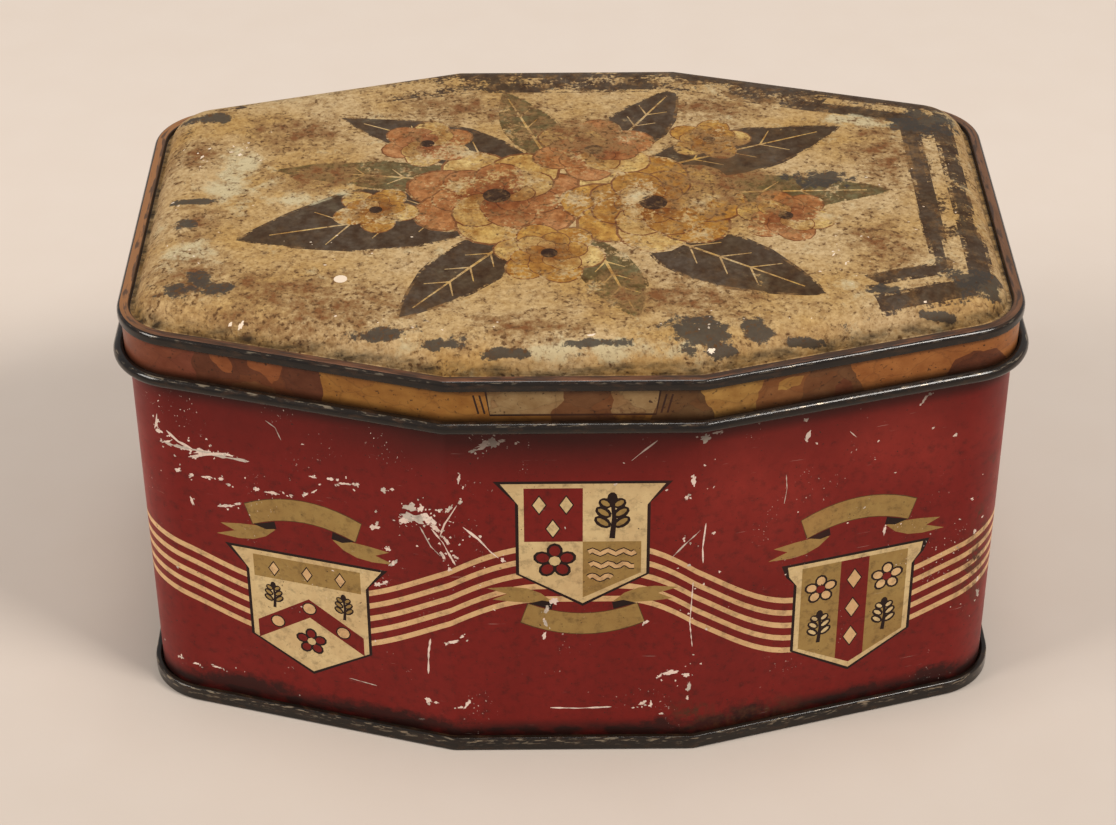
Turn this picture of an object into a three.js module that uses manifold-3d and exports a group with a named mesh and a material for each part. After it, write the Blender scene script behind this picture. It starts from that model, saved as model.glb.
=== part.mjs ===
import * as THREE from 'three';
import Module from 'manifold-3d';
import { mergeVertices } from 'three/addons/utils/BufferGeometryUtils.js';

// An eight-sided tinplate box with a slip lid, in millimetres.
// Origin: middle of the footprint, on the surface it stands on. +X runs along the length,
// -Y is the front and +Z is up.
// Every piece is folded or pressed sheet, so each is drawn as a line through the middle of its
// sheet, in a plane square to the wall, and that line is carried round the tin's plan.

// Plan of the body wall's outer face
const bodyLength = 165;
const bodyDepth = 114;
const frontFacetWidth = 46;
const endFacetWidth = 78;
const endCornerRadius = 12;
const facetFoldRadius = 3;

// Sheet, and the spaces that folding and fitting leave
const sheet = 0.3;
const foldGap = 0.2;
const slipClearance = 0.45;
const seatClearance = 0.3;

// Body
const mouthHeight = 84.8;
const mouthCurlDiameter = 1.9;
const seamHeight = 3.1;
const hookLap = 1.6;
const seamBendRadius = 0.3;
const sideSeamWidth = 4.5;
const sideSeamLayers = 4;
const scoreWidth = 0.5;
const scoreDepth = 0.14;

// Base
const countersinkDepth = 2.9;
const baseStepInset = 9;
const baseStepRise = 0.8;
const baseStepRun = 1.6;
const baseFlatInset = 27;

// Lid skirt
const lidRimHeight = 10.7;
const lidBeadDiameter = 2.4;
const skirtFlangeReach = 0.16;
const lapWidth = 5;

// Lid panel
const rimFoldHeight = 2.1;
const rimBendRadius = 0.78;
const ledgeWidth = 1.2;
const grooveDepth = 0.9;
const grooveWidth = 1.3;
const domeShoulderWidth = 7.4;
const domeRise = 5.5;
const crownRise = 0.7;
const crownFlatInset = 30;

// Fineness of bends and curls
const bendSteps = 2;
const foldSteps = 2;
const cornerSteps = 5;
const shoulderSteps = 5;
const curlSteps = 8;
const curlSweep = 1.7 * Math.PI;

// Places worked out from the sizes
const halfSheet = sheet / 2;
const halfLength = bodyLength / 2;
const halfDepth = bodyDepth / 2;
const skirtInner = slipClearance;
const skirtMiddle = skirtInner + halfSheet;
const skirtOuter = skirtInner + sheet;

// The eight corners of the plan, moved out from the body's outer face, anticlockwise from the
// front right, each with the radius that its fold has there
function planCorners(offset) {
  const quarter = [
    { x: frontFacetWidth / 2, y: halfDepth, radius: facetFoldRadius },
    { x: halfLength, y: endFacetWidth / 2, radius: endCornerRadius },
  ];
  const corners = [
    ...quarter.map((corner) => ({ ...corner, y: -corner.y })),
    ...quarter.toReversed(),
    ...quarter.map((corner) => ({ ...corner, x: -corner.x })),
    ...quarter.toReversed().map((corner) => ({ ...corner, x: -corner.x, y: -corner.y })),
  ];
  return corners.map((corner, index) => {
    const here = new THREE.Vector2(corner.x, corner.y);
    const before = corners.at(index - 1);
    const after = corners[(index + 1) % corners.length];
    const arriving = here.clone().sub(new THREE.Vector2(before.x, before.y)).normalize();
    const leaving = new THREE.Vector2(after.x, after.y).sub(here).normalize();
    const outwards = rightOf(arriving).add(rightOf(leaving));
    const stretch = offset / (1 + rightOf(arriving).dot(rightOf(leaving)));
    const radius = Math.max(corner.radius + offset, facetFoldRadius);
    return { place: here.addScaledVector(outwards, stretch), arriving, leaving, radius };
  });
}

function rightOf(direction) {
  return new THREE.Vector2(direction.y, -direction.x);
}

// An arc that rounds the corner between two straight runs
function roundCorner({ place, arriving, leaving, radius }, steps) {
  const turn = Math.atan2(arriving.cross(leaving), arriving.dot(leaving));
  const setback = radius * Math.tan(Math.abs(turn) / 2);
  const start = place.clone().addScaledVector(arriving, -setback);
  const side = Math.sign(turn);
  const centre = start.clone().addScaledVector(rightOf(arriving), -side * radius);
  const points = [];
  for (let step = 0; step <= steps; step += 1) {
    points.push(start.clone().rotateAround(centre, (turn * step) / steps));
  }
  return points;
}

// The plan's rounded outline at an offset, with the same number of points at every offset
function outline(offset) {
  return planCorners(offset).flatMap((corner, index) => {
    const isFacetFold = index % 4 === 0 || index % 4 === 3;
    return roundCorner(corner, isFacetFold ? foldSteps : cornerSteps);
  });
}

// A line through the middle of a sheet, given by its corners. Each corner between the ends is bent
// to its own radius, or to the seam's.
function bentLine(corners) {
  const points = corners.map(([offset, height]) => new THREE.Vector2(offset, height));
  return points.flatMap((place, index) => {
    if (index === 0 || index === points.length - 1) return [place];
    const arriving = place.clone().sub(points[index - 1]).normalize();
    const leaving = points[index + 1].clone().sub(place).normalize();
    const radius = corners[index][2] ?? seamBendRadius;
    return roundCorner({ place, arriving, leaving, radius }, bendSteps);
  });
}

// An arc of a curled edge
function curl(centreOffset, centreHeight, radius, startAngle, sweep) {
  const points = [];
  for (let step = 0; step <= curlSteps; step += 1) {
    const angle = startAngle + (sweep * step) / curlSteps;
    const offset = centreOffset + radius * Math.cos(angle);
    points.push(new THREE.Vector2(offset, centreHeight + radius * Math.sin(angle)));
  }
  return points;
}

// Both faces of the sheet whose middle follows a line, as one list round its section
function sheetSection(line) {
  const left = [];
  const right = [];
  line.forEach((point, index) => {
    const next = line[Math.min(index + 1, line.length - 1)];
    const last = line[Math.max(index - 1, 0)];
    const arriving = (index === 0 ? next.clone().sub(point) : point.clone().sub(last)).normalize();
    const leaving = (next === point ? point.clone().sub(last) : next.clone().sub(point)).normalize();
    const across = rightOf(arriving).add(rightOf(leaving));
    const reach = halfSheet / (1 + rightOf(arriving).dot(rightOf(leaving)));
    left.push(point.clone().addScaledVector(across, -reach));
    right.push(point.clone().addScaledVector(across, reach));
  });
  return [...right, ...left.toReversed()];
}

// Carries a section round the plan. A hoop's section closes on itself. A panel's section starts and
// ends inside the plan, where a flat or crowned middle closes each face.
function carryRound(section, middleHeights) {
  const positions = [];
  const triangles = [];
  const ringSize = outline(0).length;
  section.forEach((point) => {
    outline(point.x).forEach((corner) => positions.push(corner.x, corner.y, point.y));
  });
  const bands = middleHeights ? section.length - 1 : section.length;
  for (let band = 0; band < bands; band += 1) {
    const lower = band * ringSize;
    const upper = ((band + 1) % section.length) * ringSize;
    for (let corner = 0; corner < ringSize; corner += 1) {
      const next = (corner + 1) % ringSize;
      triangles.push(lower + corner, lower + next, upper + next);
      triangles.push(lower + corner, upper + next, upper + corner);
    }
  }
  if (middleHeights) {
    const [lowerMiddle, upperMiddle] = middleHeights;
    const firstRing = 0;
    const lastRing = (section.length - 1) * ringSize;
    const lowerIndex = section.length * ringSize;
    const upperIndex = lowerIndex + 1;
    positions.push(0, 0, lowerMiddle, 0, 0, upperMiddle);
    for (let corner = 0; corner < ringSize; corner += 1) {
      const next = (corner + 1) % ringSize;
      triangles.push(lowerIndex, firstRing + next, firstRing + corner);
      triangles.push(upperIndex, lastRing + corner, lastRing + next);
    }
  }
  const geometry = new THREE.BufferGeometry();
  geometry.setAttribute('position', new THREE.Float32BufferAttribute(positions, 3));
  geometry.setIndex(triangles);
  geometry.computeVertexNormals();
  return geometry;
}

const wasm = await Module();
wasm.setup();

function toSolid(geometry) {
  const bare = geometry.clone();
  bare.deleteAttribute('normal');
  bare.deleteAttribute('uv');
  const merged = mergeVertices(bare);
  const mesh = new wasm.Mesh({
    numProp: 3,
    vertProperties: new Float32Array(merged.attributes.position.array),
    triVerts: new Uint32Array(merged.index.array),
  });
  return new wasm.Manifold(mesh);
}

function toGeometry(solid) {
  const mesh = solid.getMesh();
  const geometry = new THREE.BufferGeometry();
  geometry.setAttribute('position', new THREE.Float32BufferAttribute(mesh.vertProperties, 3));
  geometry.setIndex([...mesh.triVerts]);
  geometry.computeVertexNormals();
  return geometry;
}

// An upright strip against the back wall, between two distances from the wall's outer face
function backStrip(centre, width, innerOffset, outerOffset, bottom, top) {
  const strip = new THREE.BoxGeometry(width, outerOffset - innerOffset, top - bottom);
  const middleY = halfDepth + (innerOffset + outerOffset) / 2;
  strip.translate(centre, middleY, (top + bottom) / 2);
  return toSolid(strip);
}

// Heights and offsets inside the base seam, from the wall outwards
const wallMiddle = -halfSheet;
const chuckWallMiddle = wallMiddle - sheet - foldGap;
const coverHookMiddle = wallMiddle + sheet + foldGap;
const bodyHookMiddle = coverHookMiddle + sheet + foldGap;
const seamWallMiddle = bodyHookMiddle + sheet + foldGap;
const wallFlangeHeight = halfSheet + sheet + foldGap;
const bodyHookTop = Math.min(wallFlangeHeight + hookLap, seamHeight - sheet - foldGap);
const coverHookBottom = Math.max(seamHeight - halfSheet - hookLap, wallFlangeHeight + halfSheet + foldGap);

// Body wall: hooked foot, straight wall and a mouth curled inwards
function makeBodyWall() {
  const curlRadius = mouthCurlDiameter / 2 - halfSheet;
  const curlHeight = mouthHeight - mouthCurlDiameter / 2;
  const foot = bentLine([
    [bodyHookMiddle, bodyHookTop],
    [bodyHookMiddle, wallFlangeHeight],
    [wallMiddle, wallFlangeHeight],
    [wallMiddle, curlHeight],
  ]).slice(0, -1);
  const mouth = curl(wallMiddle - curlRadius, curlHeight, curlRadius, 0, curlSweep);
  const wall = toSolid(carryRound(sheetSection([...foot, ...mouth])));

  // The strip's two ends, folded through each other and pressed flat inside the back wall
  const seamInner = -sheet * sideSeamLayers;
  const seamBottom = seamHeight + baseStepRise;
  const seamTop = curlHeight - curlRadius - sheet - foldGap;
  const seam = backStrip(0, sideSeamWidth, seamInner, -halfSheet, seamBottom, seamTop);
  const scoreBottom = seamHeight + foldGap;
  const score = backStrip(sideSeamWidth / 2, scoreWidth, -scoreDepth, sheet, scoreBottom, seamTop);
  return toGeometry(wall.add(seam).subtract(score));
}

// Base panel: countersunk middle with a pressed step, and an edge rolled round the wall's hook
function makeBasePanel() {
  const panelHeight = countersinkDepth + halfSheet;
  const raisedHeight = panelHeight + baseStepRise;
  const hookTurnHeight = seamHeight - halfSheet;
  const line = bentLine([
    [-baseFlatInset, raisedHeight],
    [-baseStepInset - baseStepRun, raisedHeight, baseStepRise / 2],
    [-baseStepInset, panelHeight, baseStepRise / 2],
    [chuckWallMiddle, panelHeight],
    [chuckWallMiddle, halfSheet],
    [seamWallMiddle, halfSheet],
    [seamWallMiddle, hookTurnHeight],
    [coverHookMiddle, hookTurnHeight],
    [coverHookMiddle, coverHookBottom],
  ]);
  return carryRound(sheetSection(line), [raisedHeight - halfSheet, raisedHeight + halfSheet]);
}

// Heights in the lid, from the mouth that it sits on
const grooveHeight = mouthHeight + seatClearance + halfSheet;
const ledgeHeight = grooveHeight + grooveDepth;
const rimTop = ledgeHeight + halfSheet;
const lidBottom = rimTop - lidRimHeight;
const skirtFlangeHeight = ledgeHeight - sheet - foldGap - foldGap;
const rimMiddle = skirtOuter + skirtFlangeReach + foldGap + halfSheet;
const rimFoldBottom = rimTop - rimFoldHeight + halfSheet;

// Lid skirt: a small flange under the rim, a straight band and an edge curled outwards
function makeLidSkirt() {
  const curlRadius = lidBeadDiameter / 2 - halfSheet;
  const curlHeight = lidBottom + lidBeadDiameter / 2;
  const band = bentLine([
    [skirtOuter + skirtFlangeReach, skirtFlangeHeight],
    [skirtMiddle, skirtFlangeHeight, halfSheet + foldGap / 2],
    [skirtMiddle, curlHeight],
  ]).slice(0, -1);
  const bead = curl(skirtMiddle + curlRadius, curlHeight, curlRadius, Math.PI, curlSweep);
  const skirt = toSolid(carryRound(sheetSection([...band, ...bead])));

  // The overlapping end of the strip, soldered flat outside the back
  const lapBottom = curlHeight + lidBeadDiameter / 2 + foldGap;
  const lapTop = rimFoldBottom - halfSheet - foldGap;
  const lap = backStrip(0, lapWidth, skirtMiddle, skirtOuter + sheet, lapBottom, lapTop);
  return toGeometry(skirt.add(lap));
}

// Lid panel: crowned top, rounded shoulder, groove, ledge and a rim rolled under the skirt's flange
function makeLidPanel() {
  const ledgeInner = skirtInner - ledgeWidth;
  const grooveInner = ledgeInner - grooveWidth;
  const shoulderInner = grooveInner - domeShoulderWidth;
  const plateauHeight = grooveHeight + domeRise;
  const crownHeight = plateauHeight + crownRise;
  const edgeRise = plateauHeight + (crownRise * (crownFlatInset + shoulderInner)) / crownFlatInset;
  const shoulder = [];
  for (let step = 0; step < shoulderSteps; step += 1) {
    const angle = (Math.PI / 2) * (1 - step / shoulderSteps);
    const offset = shoulderInner + domeShoulderWidth * Math.cos(angle);
    shoulder.push(new THREE.Vector2(offset, grooveHeight + domeRise * Math.sin(angle)));
  }
  const edge = bentLine([
    shoulder.at(-1).toArray(),
    [grooveInner, grooveHeight, grooveDepth / 2],
    [ledgeInner, grooveHeight, grooveDepth / 3],
    [ledgeInner, ledgeHeight, grooveDepth / 3],
    [rimMiddle, ledgeHeight, rimBendRadius],
    [rimMiddle, rimFoldBottom, foldGap],
    [skirtOuter + foldGap, rimFoldBottom],
  ]);
  const crown = new THREE.Vector2(-crownFlatInset, edgeRise);
  const line = [crown, ...shoulder.slice(0, -1), ...edge];
  return carryRound(sheetSection(line), [crownHeight - halfSheet, crownHeight + halfSheet]);
}

const redPrint = new THREE.MeshStandardMaterial({ color: 0x762d26, roughness: 0.42, metalness: 0.1 });
const wornPrint = new THREE.MeshStandardMaterial({ color: 0xc2a473, roughness: 0.6, metalness: 0.1 });
const ochrePrint = new THREE.MeshStandardMaterial({ color: 0x8a5a2c, roughness: 0.5, metalness: 0.1 });
const darkTinplate = new THREE.MeshStandardMaterial({ color: 0x3a332c, roughness: 0.45, metalness: 0.8 });

function addPiece(parent, name, geometry, material) {
  const piece = new THREE.Mesh(geometry, material);
  piece.name = name;
  parent.add(piece);
}

const tin = new THREE.Group();
const body = new THREE.Group();
const lid = new THREE.Group();
addPiece(body, 'body_wall', makeBodyWall(), redPrint);
addPiece(body, 'base_panel', makeBasePanel(), darkTinplate);
addPiece(lid, 'lid_skirt', makeLidSkirt(), ochrePrint);
addPiece(lid, 'lid_panel', makeLidPanel(), wornPrint);
tin.add(body, lid);

export default tin;
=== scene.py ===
# A printed tinplate keepsake tin with a domed slip lid, on a pale studio floor.
import math
import random
from bisect import bisect_right
from functools import partial
from itertools import accumulate

import bmesh
import bpy
from mathutils import Matrix, Vector
from mathutils.geometry import delaunay_2d_cdt


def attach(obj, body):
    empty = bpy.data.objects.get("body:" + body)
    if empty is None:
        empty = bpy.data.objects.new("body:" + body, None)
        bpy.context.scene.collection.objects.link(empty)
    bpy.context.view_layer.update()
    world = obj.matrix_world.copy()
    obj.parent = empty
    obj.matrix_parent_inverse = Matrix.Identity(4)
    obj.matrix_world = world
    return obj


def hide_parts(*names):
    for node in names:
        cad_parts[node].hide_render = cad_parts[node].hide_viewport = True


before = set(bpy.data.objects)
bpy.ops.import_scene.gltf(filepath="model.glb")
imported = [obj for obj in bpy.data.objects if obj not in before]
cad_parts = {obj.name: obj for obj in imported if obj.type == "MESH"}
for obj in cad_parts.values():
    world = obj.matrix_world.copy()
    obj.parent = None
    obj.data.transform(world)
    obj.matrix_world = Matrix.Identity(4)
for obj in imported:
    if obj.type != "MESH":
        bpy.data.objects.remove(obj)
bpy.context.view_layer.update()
print("frame loaded:", ", ".join(sorted(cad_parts)))

millimetre = 0.001
nearly = 0.01  # millimetres that count as none
weldDistance = 0.002  # corners as close as this in millimetres become one
sharpEdge = 0.6  # faces whose normals' dot product is under this meet in an edge
cutTolerance = 1e-5  # millimetres within which the corners of cut shapes are one
varnishIndex = 1.5  # how strongly varnish and lacquer bend light


def linear(hexColour):  # an sRGB hex colour as linear red, green, blue, alpha
    parts = [int(hexColour[i:i + 2], 16) / 255 for i in (1, 3, 5)]
    return tuple(c / 12.92 if c <= 0.04045 else ((c + 0.055) / 1.055) ** 2.4 for c in parts) + (1.0,)


# Plan of the tin's wall and the sheet it is folded from, in millimetres, as the solids have them
plan = {
    "length": 165, "depth": 114, "frontFacet": 46, "endFacet": 78,
    "endRadius": 12, "foldRadius": 3,
    "endSteps": 14, "foldSteps": 4,
}
tinplate = {
    "sheet": 0.3, "foldGap": 0.2, "slip": 0.45, "seat": 0.3,
    "bendRadius": 0.3, "bendSteps": 4, "stripRounding": 0.35, "stripSegments": 3,
    "curlSteps": 18, "curlTurn": 1.7 * math.pi,
}
halfSheet = tinplate["sheet"] / 2
foldPitch = tinplate["sheet"] + tinplate["foldGap"]
halfDepth = plan["depth"] / 2


def rightOf(direction):
    return Vector((direction.y, -direction.x))


def turned(vector, angle):
    return Matrix.Rotation(angle, 2) @ vector


def planCorners():  # anticlockwise from the fold at the back left: place, radius of the fold, steps
    quarter = [
        (plan["frontFacet"] / 2, halfDepth, plan["foldRadius"], plan["foldSteps"]),
        (plan["length"] / 2, plan["endFacet"] / 2, plan["endRadius"], plan["endSteps"]),
    ]
    corners = [(-x, y, radius, steps) for x, y, radius, steps in quarter]
    corners += [(-x, -y, radius, steps) for x, y, radius, steps in reversed(quarter)]
    corners += [(x, -y, radius, steps) for x, y, radius, steps in quarter]
    corners += list(reversed(quarter))
    return corners


def stations(offset):  # places and outward normals round the plan from the back, moved out by offset
    seam = (Vector((0, halfDepth + offset)), Vector((0, 1)))
    corners = planCorners()
    found = [seam]
    beside = zip(corners[-1:] + corners, corners[1:] + corners[:1])
    for (x, y, radius, steps), (before, after) in zip(corners, beside):
        here = Vector((x, y))
        arriving = (here - Vector(before[:2])).normalized()
        leaving = (Vector(after[:2]) - here).normalized()
        normal = rightOf(arriving)
        both = normal + rightOf(leaving)
        place = here + both * offset / (1 + normal.dot(rightOf(leaving)))
        bend = max(radius + offset, plan["foldRadius"])
        turn = math.acos(arriving.dot(leaving))
        centre = place - arriving * bend * math.tan(turn / 2) - normal * bend
        for step in range(steps + 1):
            outward = turned(normal, turn * step / steps)
            found.append((centre + outward * bend, outward))
    found.append(seam)
    return found


def flatDistances():  # how far along the unrolled wall each station lies, from the middle of the front
    places = [place for place, _ in stations(0)]
    travelled = [0.0]
    for here, after in zip(places, places[1:]):
        travelled.append(travelled[-1] + (after - here).length)
    return [distance - travelled[-1] / 2 for distance in travelled]


alongWall = flatDistances()
halfRound = alongWall[-1]


def roundedCorner(place, arriving, leaving, radius, steps):
    turn = math.atan2(arriving.x * leaving.y - arriving.y * leaving.x, arriving.dot(leaving))
    side = math.copysign(1, turn)
    centre = place - arriving * radius * math.tan(abs(turn) / 2) - rightOf(arriving) * side * radius
    spoke = rightOf(arriving) * side * radius
    return [centre + turned(spoke, turn * step / steps) for step in range(steps + 1)]


def bentLine(corners):  # the middle of a sheet from corner to corner, with each corner bent
    points = [Vector(corner[:2]) for corner in corners]
    line = [points[0]]
    for index in range(1, len(points) - 1):
        arriving = (points[index] - points[index - 1]).normalized()
        leaving = (points[index + 1] - points[index]).normalized()
        radius = corners[index][2] if len(corners[index]) > 2 else tinplate["bendRadius"]
        line += roundedCorner(points[index], arriving, leaving, radius, tinplate["bendSteps"])
    return line + [points[-1]]


def curledEdge(centre, radius, start):
    line = []
    for step in range(tinplate["curlSteps"] + 1):
        turn = start + tinplate["curlTurn"] * step / tinplate["curlSteps"]
        line.append(Vector((centre[0] + radius * math.cos(turn), centre[1] + radius * math.sin(turn))))
    return line


def sheetFaces(line):  # the two faces of the sheet whose middle follows a line: right side, left side
    right, left = [], []
    for index, point in enumerate(line):
        after = line[min(index + 1, len(line) - 1)]
        before = line[max(index - 1, 0)]
        arriving = ((after - point) if index == 0 else (point - before)).normalized()
        leaving = ((point - before) if after == point else (after - point)).normalized()
        across = rightOf(arriving) + rightOf(leaving)
        reach = halfSheet / (1 + rightOf(arriving).dot(rightOf(leaving)))
        right.append(point + across * reach)
        left.append(point - across * reach)
    return right, left


# A draft holds a piece's faces before they become a mesh: corners and finish. A corner is its place and
# normal in the tin's frame, its place on the flat sheet, its ink and three marks: how bare the metal is,
# how rubbed it is or how well its ink holds, and how far it lies outside the wall's plan.
def makePiece(name, draft, materials, body, replaced):
    sheetMesh = bmesh.new()
    flat = sheetMesh.loops.layers.uv.new("flatSheet")
    ink = sheetMesh.loops.layers.float_color.new("ink")
    marks = sheetMesh.loops.layers.float_vector.new("marks")
    normals = sheetMesh.loops.layers.float_vector.new("givenNormal")
    for corners, finish in draft:
        face = sheetMesh.faces.new([sheetMesh.verts.new(corner[0] * millimetre) for corner in corners])
        face.material_index = finish
        face.smooth = True
        for loop, (_, normal, spot, colour, marked) in zip(face.loops, corners):
            loop[normals] = normal
            loop[flat].uv = spot
            loop[ink] = colour
            loop[marks] = marked
    bmesh.ops.remove_doubles(sheetMesh, verts=sheetMesh.verts, dist=weldDistance * millimetre)
    mesh = bpy.data.meshes.new(name)
    sheetMesh.to_mesh(mesh)
    sheetMesh.free()
    given = [tuple(item.vector) for item in mesh.attributes["givenNormal"].data]
    mesh.attributes.remove(mesh.attributes["givenNormal"])
    mesh.normals_split_custom_set(given)
    for material in materials:
        mesh.materials.append(material)
    piece = bpy.data.objects.new(name, mesh)
    bpy.context.scene.collection.objects.link(piece)
    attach(piece, body)
    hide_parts(replaced)
    print("made", name, "with", len(mesh.polygons), "faces")


def rubAt(point, ridges):  # how rubbed a point of a section is, from the ridges near it
    nearness = [1 - (point - Vector((x, y))).length / reach for x, y, reach in ridges]
    return max(nearness + [0.0])


def carryRound(draft, section, finishOf, ink, ridges, isPrinted=None, isPanel=False, planSpare=None):
    count = len(section)
    pairs = [(section[i], section[(i + 1) % count]) for i in range(count - 1 if isPanel else count)]
    bandNormals = [rightOf(after - here).normalized() for here, after in pairs]
    lengths = [(after - here).length for here, after in pairs]
    rings = [stations(point.x) for point in section]
    travelled = [0.0, *accumulate(lengths)]

    def cornerNormal(band, other):  # longer bands keep their own direction, and cut edges stay sharp
        own = bandNormals[band]
        if not 0 <= other < len(pairs) and isPanel:
            return own
        beside = bandNormals[other % len(pairs)]
        if own.dot(beside) < sharpEdge:
            return own
        return (own * lengths[band] ** 2 + beside * lengths[other % len(pairs)] ** 2).normalized()

    def corner(index, station, normal, finish):
        place, outward = rings[index % count][station]
        point = section[index % count]
        faced = Vector((outward.x * normal.x, outward.y * normal.x, normal.y))
        flat = (alongWall[station], travelled[index])
        rubbed = rubAt(point, ridges)
        if finish == 0 and planSpare is not None:  # carries on the print inside the last ring
            flat = tuple(rings[-1][station][0] + outward * (planSpare + travelled[-1] - travelled[index]))
            rubbed = 0.0
        return (Vector((place.x, place.y, point.y)), faced, flat, inks[ink], (0.0, rubbed, point.x))

    for band, (here, after) in enumerate(pairs):
        if isPrinted and isPrinted(here, after):
            continue
        finish = finishOf((here + after) / 2, band)
        first = cornerNormal(band, band - 1)
        last = cornerNormal(band, band + 1)
        for station in range(len(alongWall) - 1):
            draft.append(([
                corner(band, station, first, finish),
                corner(band, station + 1, first, finish),
                corner(band + 1, station + 1, last, finish),
                corner(band + 1, station, last, finish),
            ], finish))


def closeMiddle(draft, point, facing, finish):  # a fan from a ring to the middle
    normal = Vector((0, 0, facing))

    def corner(x, y, edge):
        return (Vector((x, y, point.y)), normal, (x, y), inks["tin"], (0.0, 0.0, edge))
    ring = [corner(*place, point.x) for place, _ in stations(point.x)]
    for here, after in zip(ring, ring[1:]):
        corners = [corner(0.0, 0.0, -halfDepth), here, after]
        draft.append((corners if facing > 0 else corners[::-1], finish))


# Print. A sheet is cut into faces along the edges of its inks, as if each ink were cut out of paper and
# laid on the sheet, the last one on top. A shape is its ink, its outline in millimetres and two marks:
# how bare the metal is there, and how well the ink has held.
def anticlockwise(outline):
    area = sum(a[0] * b[1] - b[0] * a[1] for a, b in zip(outline, outline[1:] + outline[:1]))
    return outline if area > 0 else outline[::-1]


def cutSheet(edge, guides, shapes, ground):  # triangles, each with the ink and marks of its top shape
    places, lines, faces = [], [], []
    for outline in [edge] + [anticlockwise(outline) for _, outline, _, _ in shapes]:
        faces.append(list(range(len(places), len(places) + len(outline))))
        places += [Vector(point) for point in outline]
    for start, end in guides:
        lines.append((len(places), len(places) + 1))
        places += [Vector(start), Vector(end)]
    points, _, triangles, _, _, owners = delaunay_2d_cdt(places, lines, faces, 1, cutTolerance, True)
    looks = [ground] + [(ink, bare, held) for ink, _, bare, held in shapes]
    return [([points[i] for i in triangle], looks[max(owner)])
            for triangle, owner in zip(triangles, owners) if owner]


def onSheet(along, ring):  # place and outward normal on a ring, at a distance along the unrolled wall
    index = min(max(bisect_right(alongWall, along) - 1, 0), len(alongWall) - 2)
    share = (along - alongWall[index]) / (alongWall[index + 1] - alongWall[index])
    (here, normal), (after, normalAfter) = ring[index:index + 2]
    return here.lerp(after, share), (normal + (normalAfter - normal) * share).normalized()


def printBand(draft, offset, bottom, top, ground, shapes):
    edge = [(-halfRound, bottom), (halfRound, bottom), (halfRound, top), (-halfRound, top)]
    guides = [((along, bottom), (along, top)) for along in alongWall[1:-1]]
    ring = stations(offset)
    for triangle, (ink, bare, held) in cutSheet(edge, guides, shapes, (inks[ground], 0.0, 1.0)):
        corners = []
        for point in triangle:
            place, outward = onSheet(point.x, ring)
            marked = (bare, held, offset)
            corners.append((Vector((*place, point.y)), outward.to_3d(), tuple(point), ink, marked))
        draft.append((corners, 0))


inks = {name: linear(colour) for name, colour in {
    "red": "#801e19", "cream": "#ebc590", "gold": "#e6cd98", "olive": "#ab8d52", "outline": "#261613",
    "bannerEdge": "#5c4526", "chip": "#f2dccd", "tin": "#cfc2b4", "rust": "#33201a",
    "skirt": "#a06e32", "skirtPale": "#9c8058", "flakeRed": "#7c412d", "flakeDeep": "#653722",
    "flakeBrown": "#704a2d", "flakeGrey": "#66492c", "flakeOrange": "#92542e", "flakeTan": "#8a5a33",
    "flakeAmber": "#a86b37", "flakeOchre": "#b08545",
    "lidCream": "#bfa57c", "charcoal": "#54483d", "ochre": "#c0984f", "salmon": "#b9875a",
    "greyGreen": "#6f6748", "petalShade": "#8a5f3c", "paleYellow": "#d2b87c",
}.items()}


def shapeOf(ink, outline, bare=0.0, held=1.0):
    return (inks[ink], outline, bare, held)


def ellipseOutline(centre, across, up, angle=0.0, points=14):
    outline = []
    for step in range(points):
        turn = 2 * math.pi * step / points
        spot = turned(Vector((across * math.cos(turn), up * math.sin(turn))), angle)
        outline.append((centre[0] + spot.x, centre[1] + spot.y))
    return outline


def ribbonOutline(line, widths):  # a band along a line, with its own width at each point
    right, left = [], []
    for index, point in enumerate(line):
        after, before = line[min(index + 1, len(line) - 1)], line[max(index - 1, 0)]
        across = rightOf((Vector(after) - Vector(before)).normalized()) * widths[index] / 2
        right.append(tuple(Vector(point) + across))
        left.append(tuple(Vector(point) - across))
    return right + left[::-1]


# Wall: the print that runs round the body
wall = {
    "mouthHeight": 84.8, "curlDiameter": 1.9, "seamHeight": 3.1, "hookLap": 1.6,
    "sideSeamWidth": 4.5, "sideSeamLayers": 4, "sideSeamGap": 0.5,
    "scoreWidth": 0.5, "scoreGap": 0.4, "scoreTop": 82.0,
    "stripes": 5, "stripeWidth": 1.3, "stripePitch": 3.05, "stripeStep": 2.0,
    "stripeWave": {  # distance from the crest and height, to the left of it and to the right
        -1: ((7.0, 42.5), (51.0, 26.2), (58.0, 26.2), (88.0, 33.8), (halfRound / 2, 26.2)),
        1: ((7.0, 42.5), (43.0, 24.8), (54.0, 24.8), (88.0, 32.6), (halfRound / 2, 24.8)),
    },
    "printShift": 1.8, "ridgeReach": 0.8,
}
shieldSize = {
    "halfWidth": 12.4, "earDrop": 4.8, "sideDrop": 21.4, "height": 29.0,
    "outline": 0.6, "frame": 1.0,
    "earCurl": (1.6, 0.62), "earInset": 2.2, "sideInset": 0.2, "footInset": 1.15,
    "fieldFoot": 1.25, "fieldSide": 0.3,
}
shields = [  # along the wall, height of the top, half width at the ears, design, and where the banner is
    (-51.6, 40.5, 16.4, "chevron", "above"), (1.8, 63.7, 16.4, "quarters", "below"),
    (55.1, 39.8, 15.1, "pale", "above"),
    (-119.9, 40.7, 16.0, "bend", "above"), (123.5, 40.1, 16.0, "bend", "above"),
    (-187.5, 40.6, 16.0, "pale", "above"), (191.1, 40.6, 16.0, "chevron", "above"),
]
fieldInset = shieldSize["outline"] + shieldSize["frame"]
fieldHalf = shieldSize["halfWidth"] - fieldInset
fieldRow = 13.8  # how far a field's lower half lies below the shield's top
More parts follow.
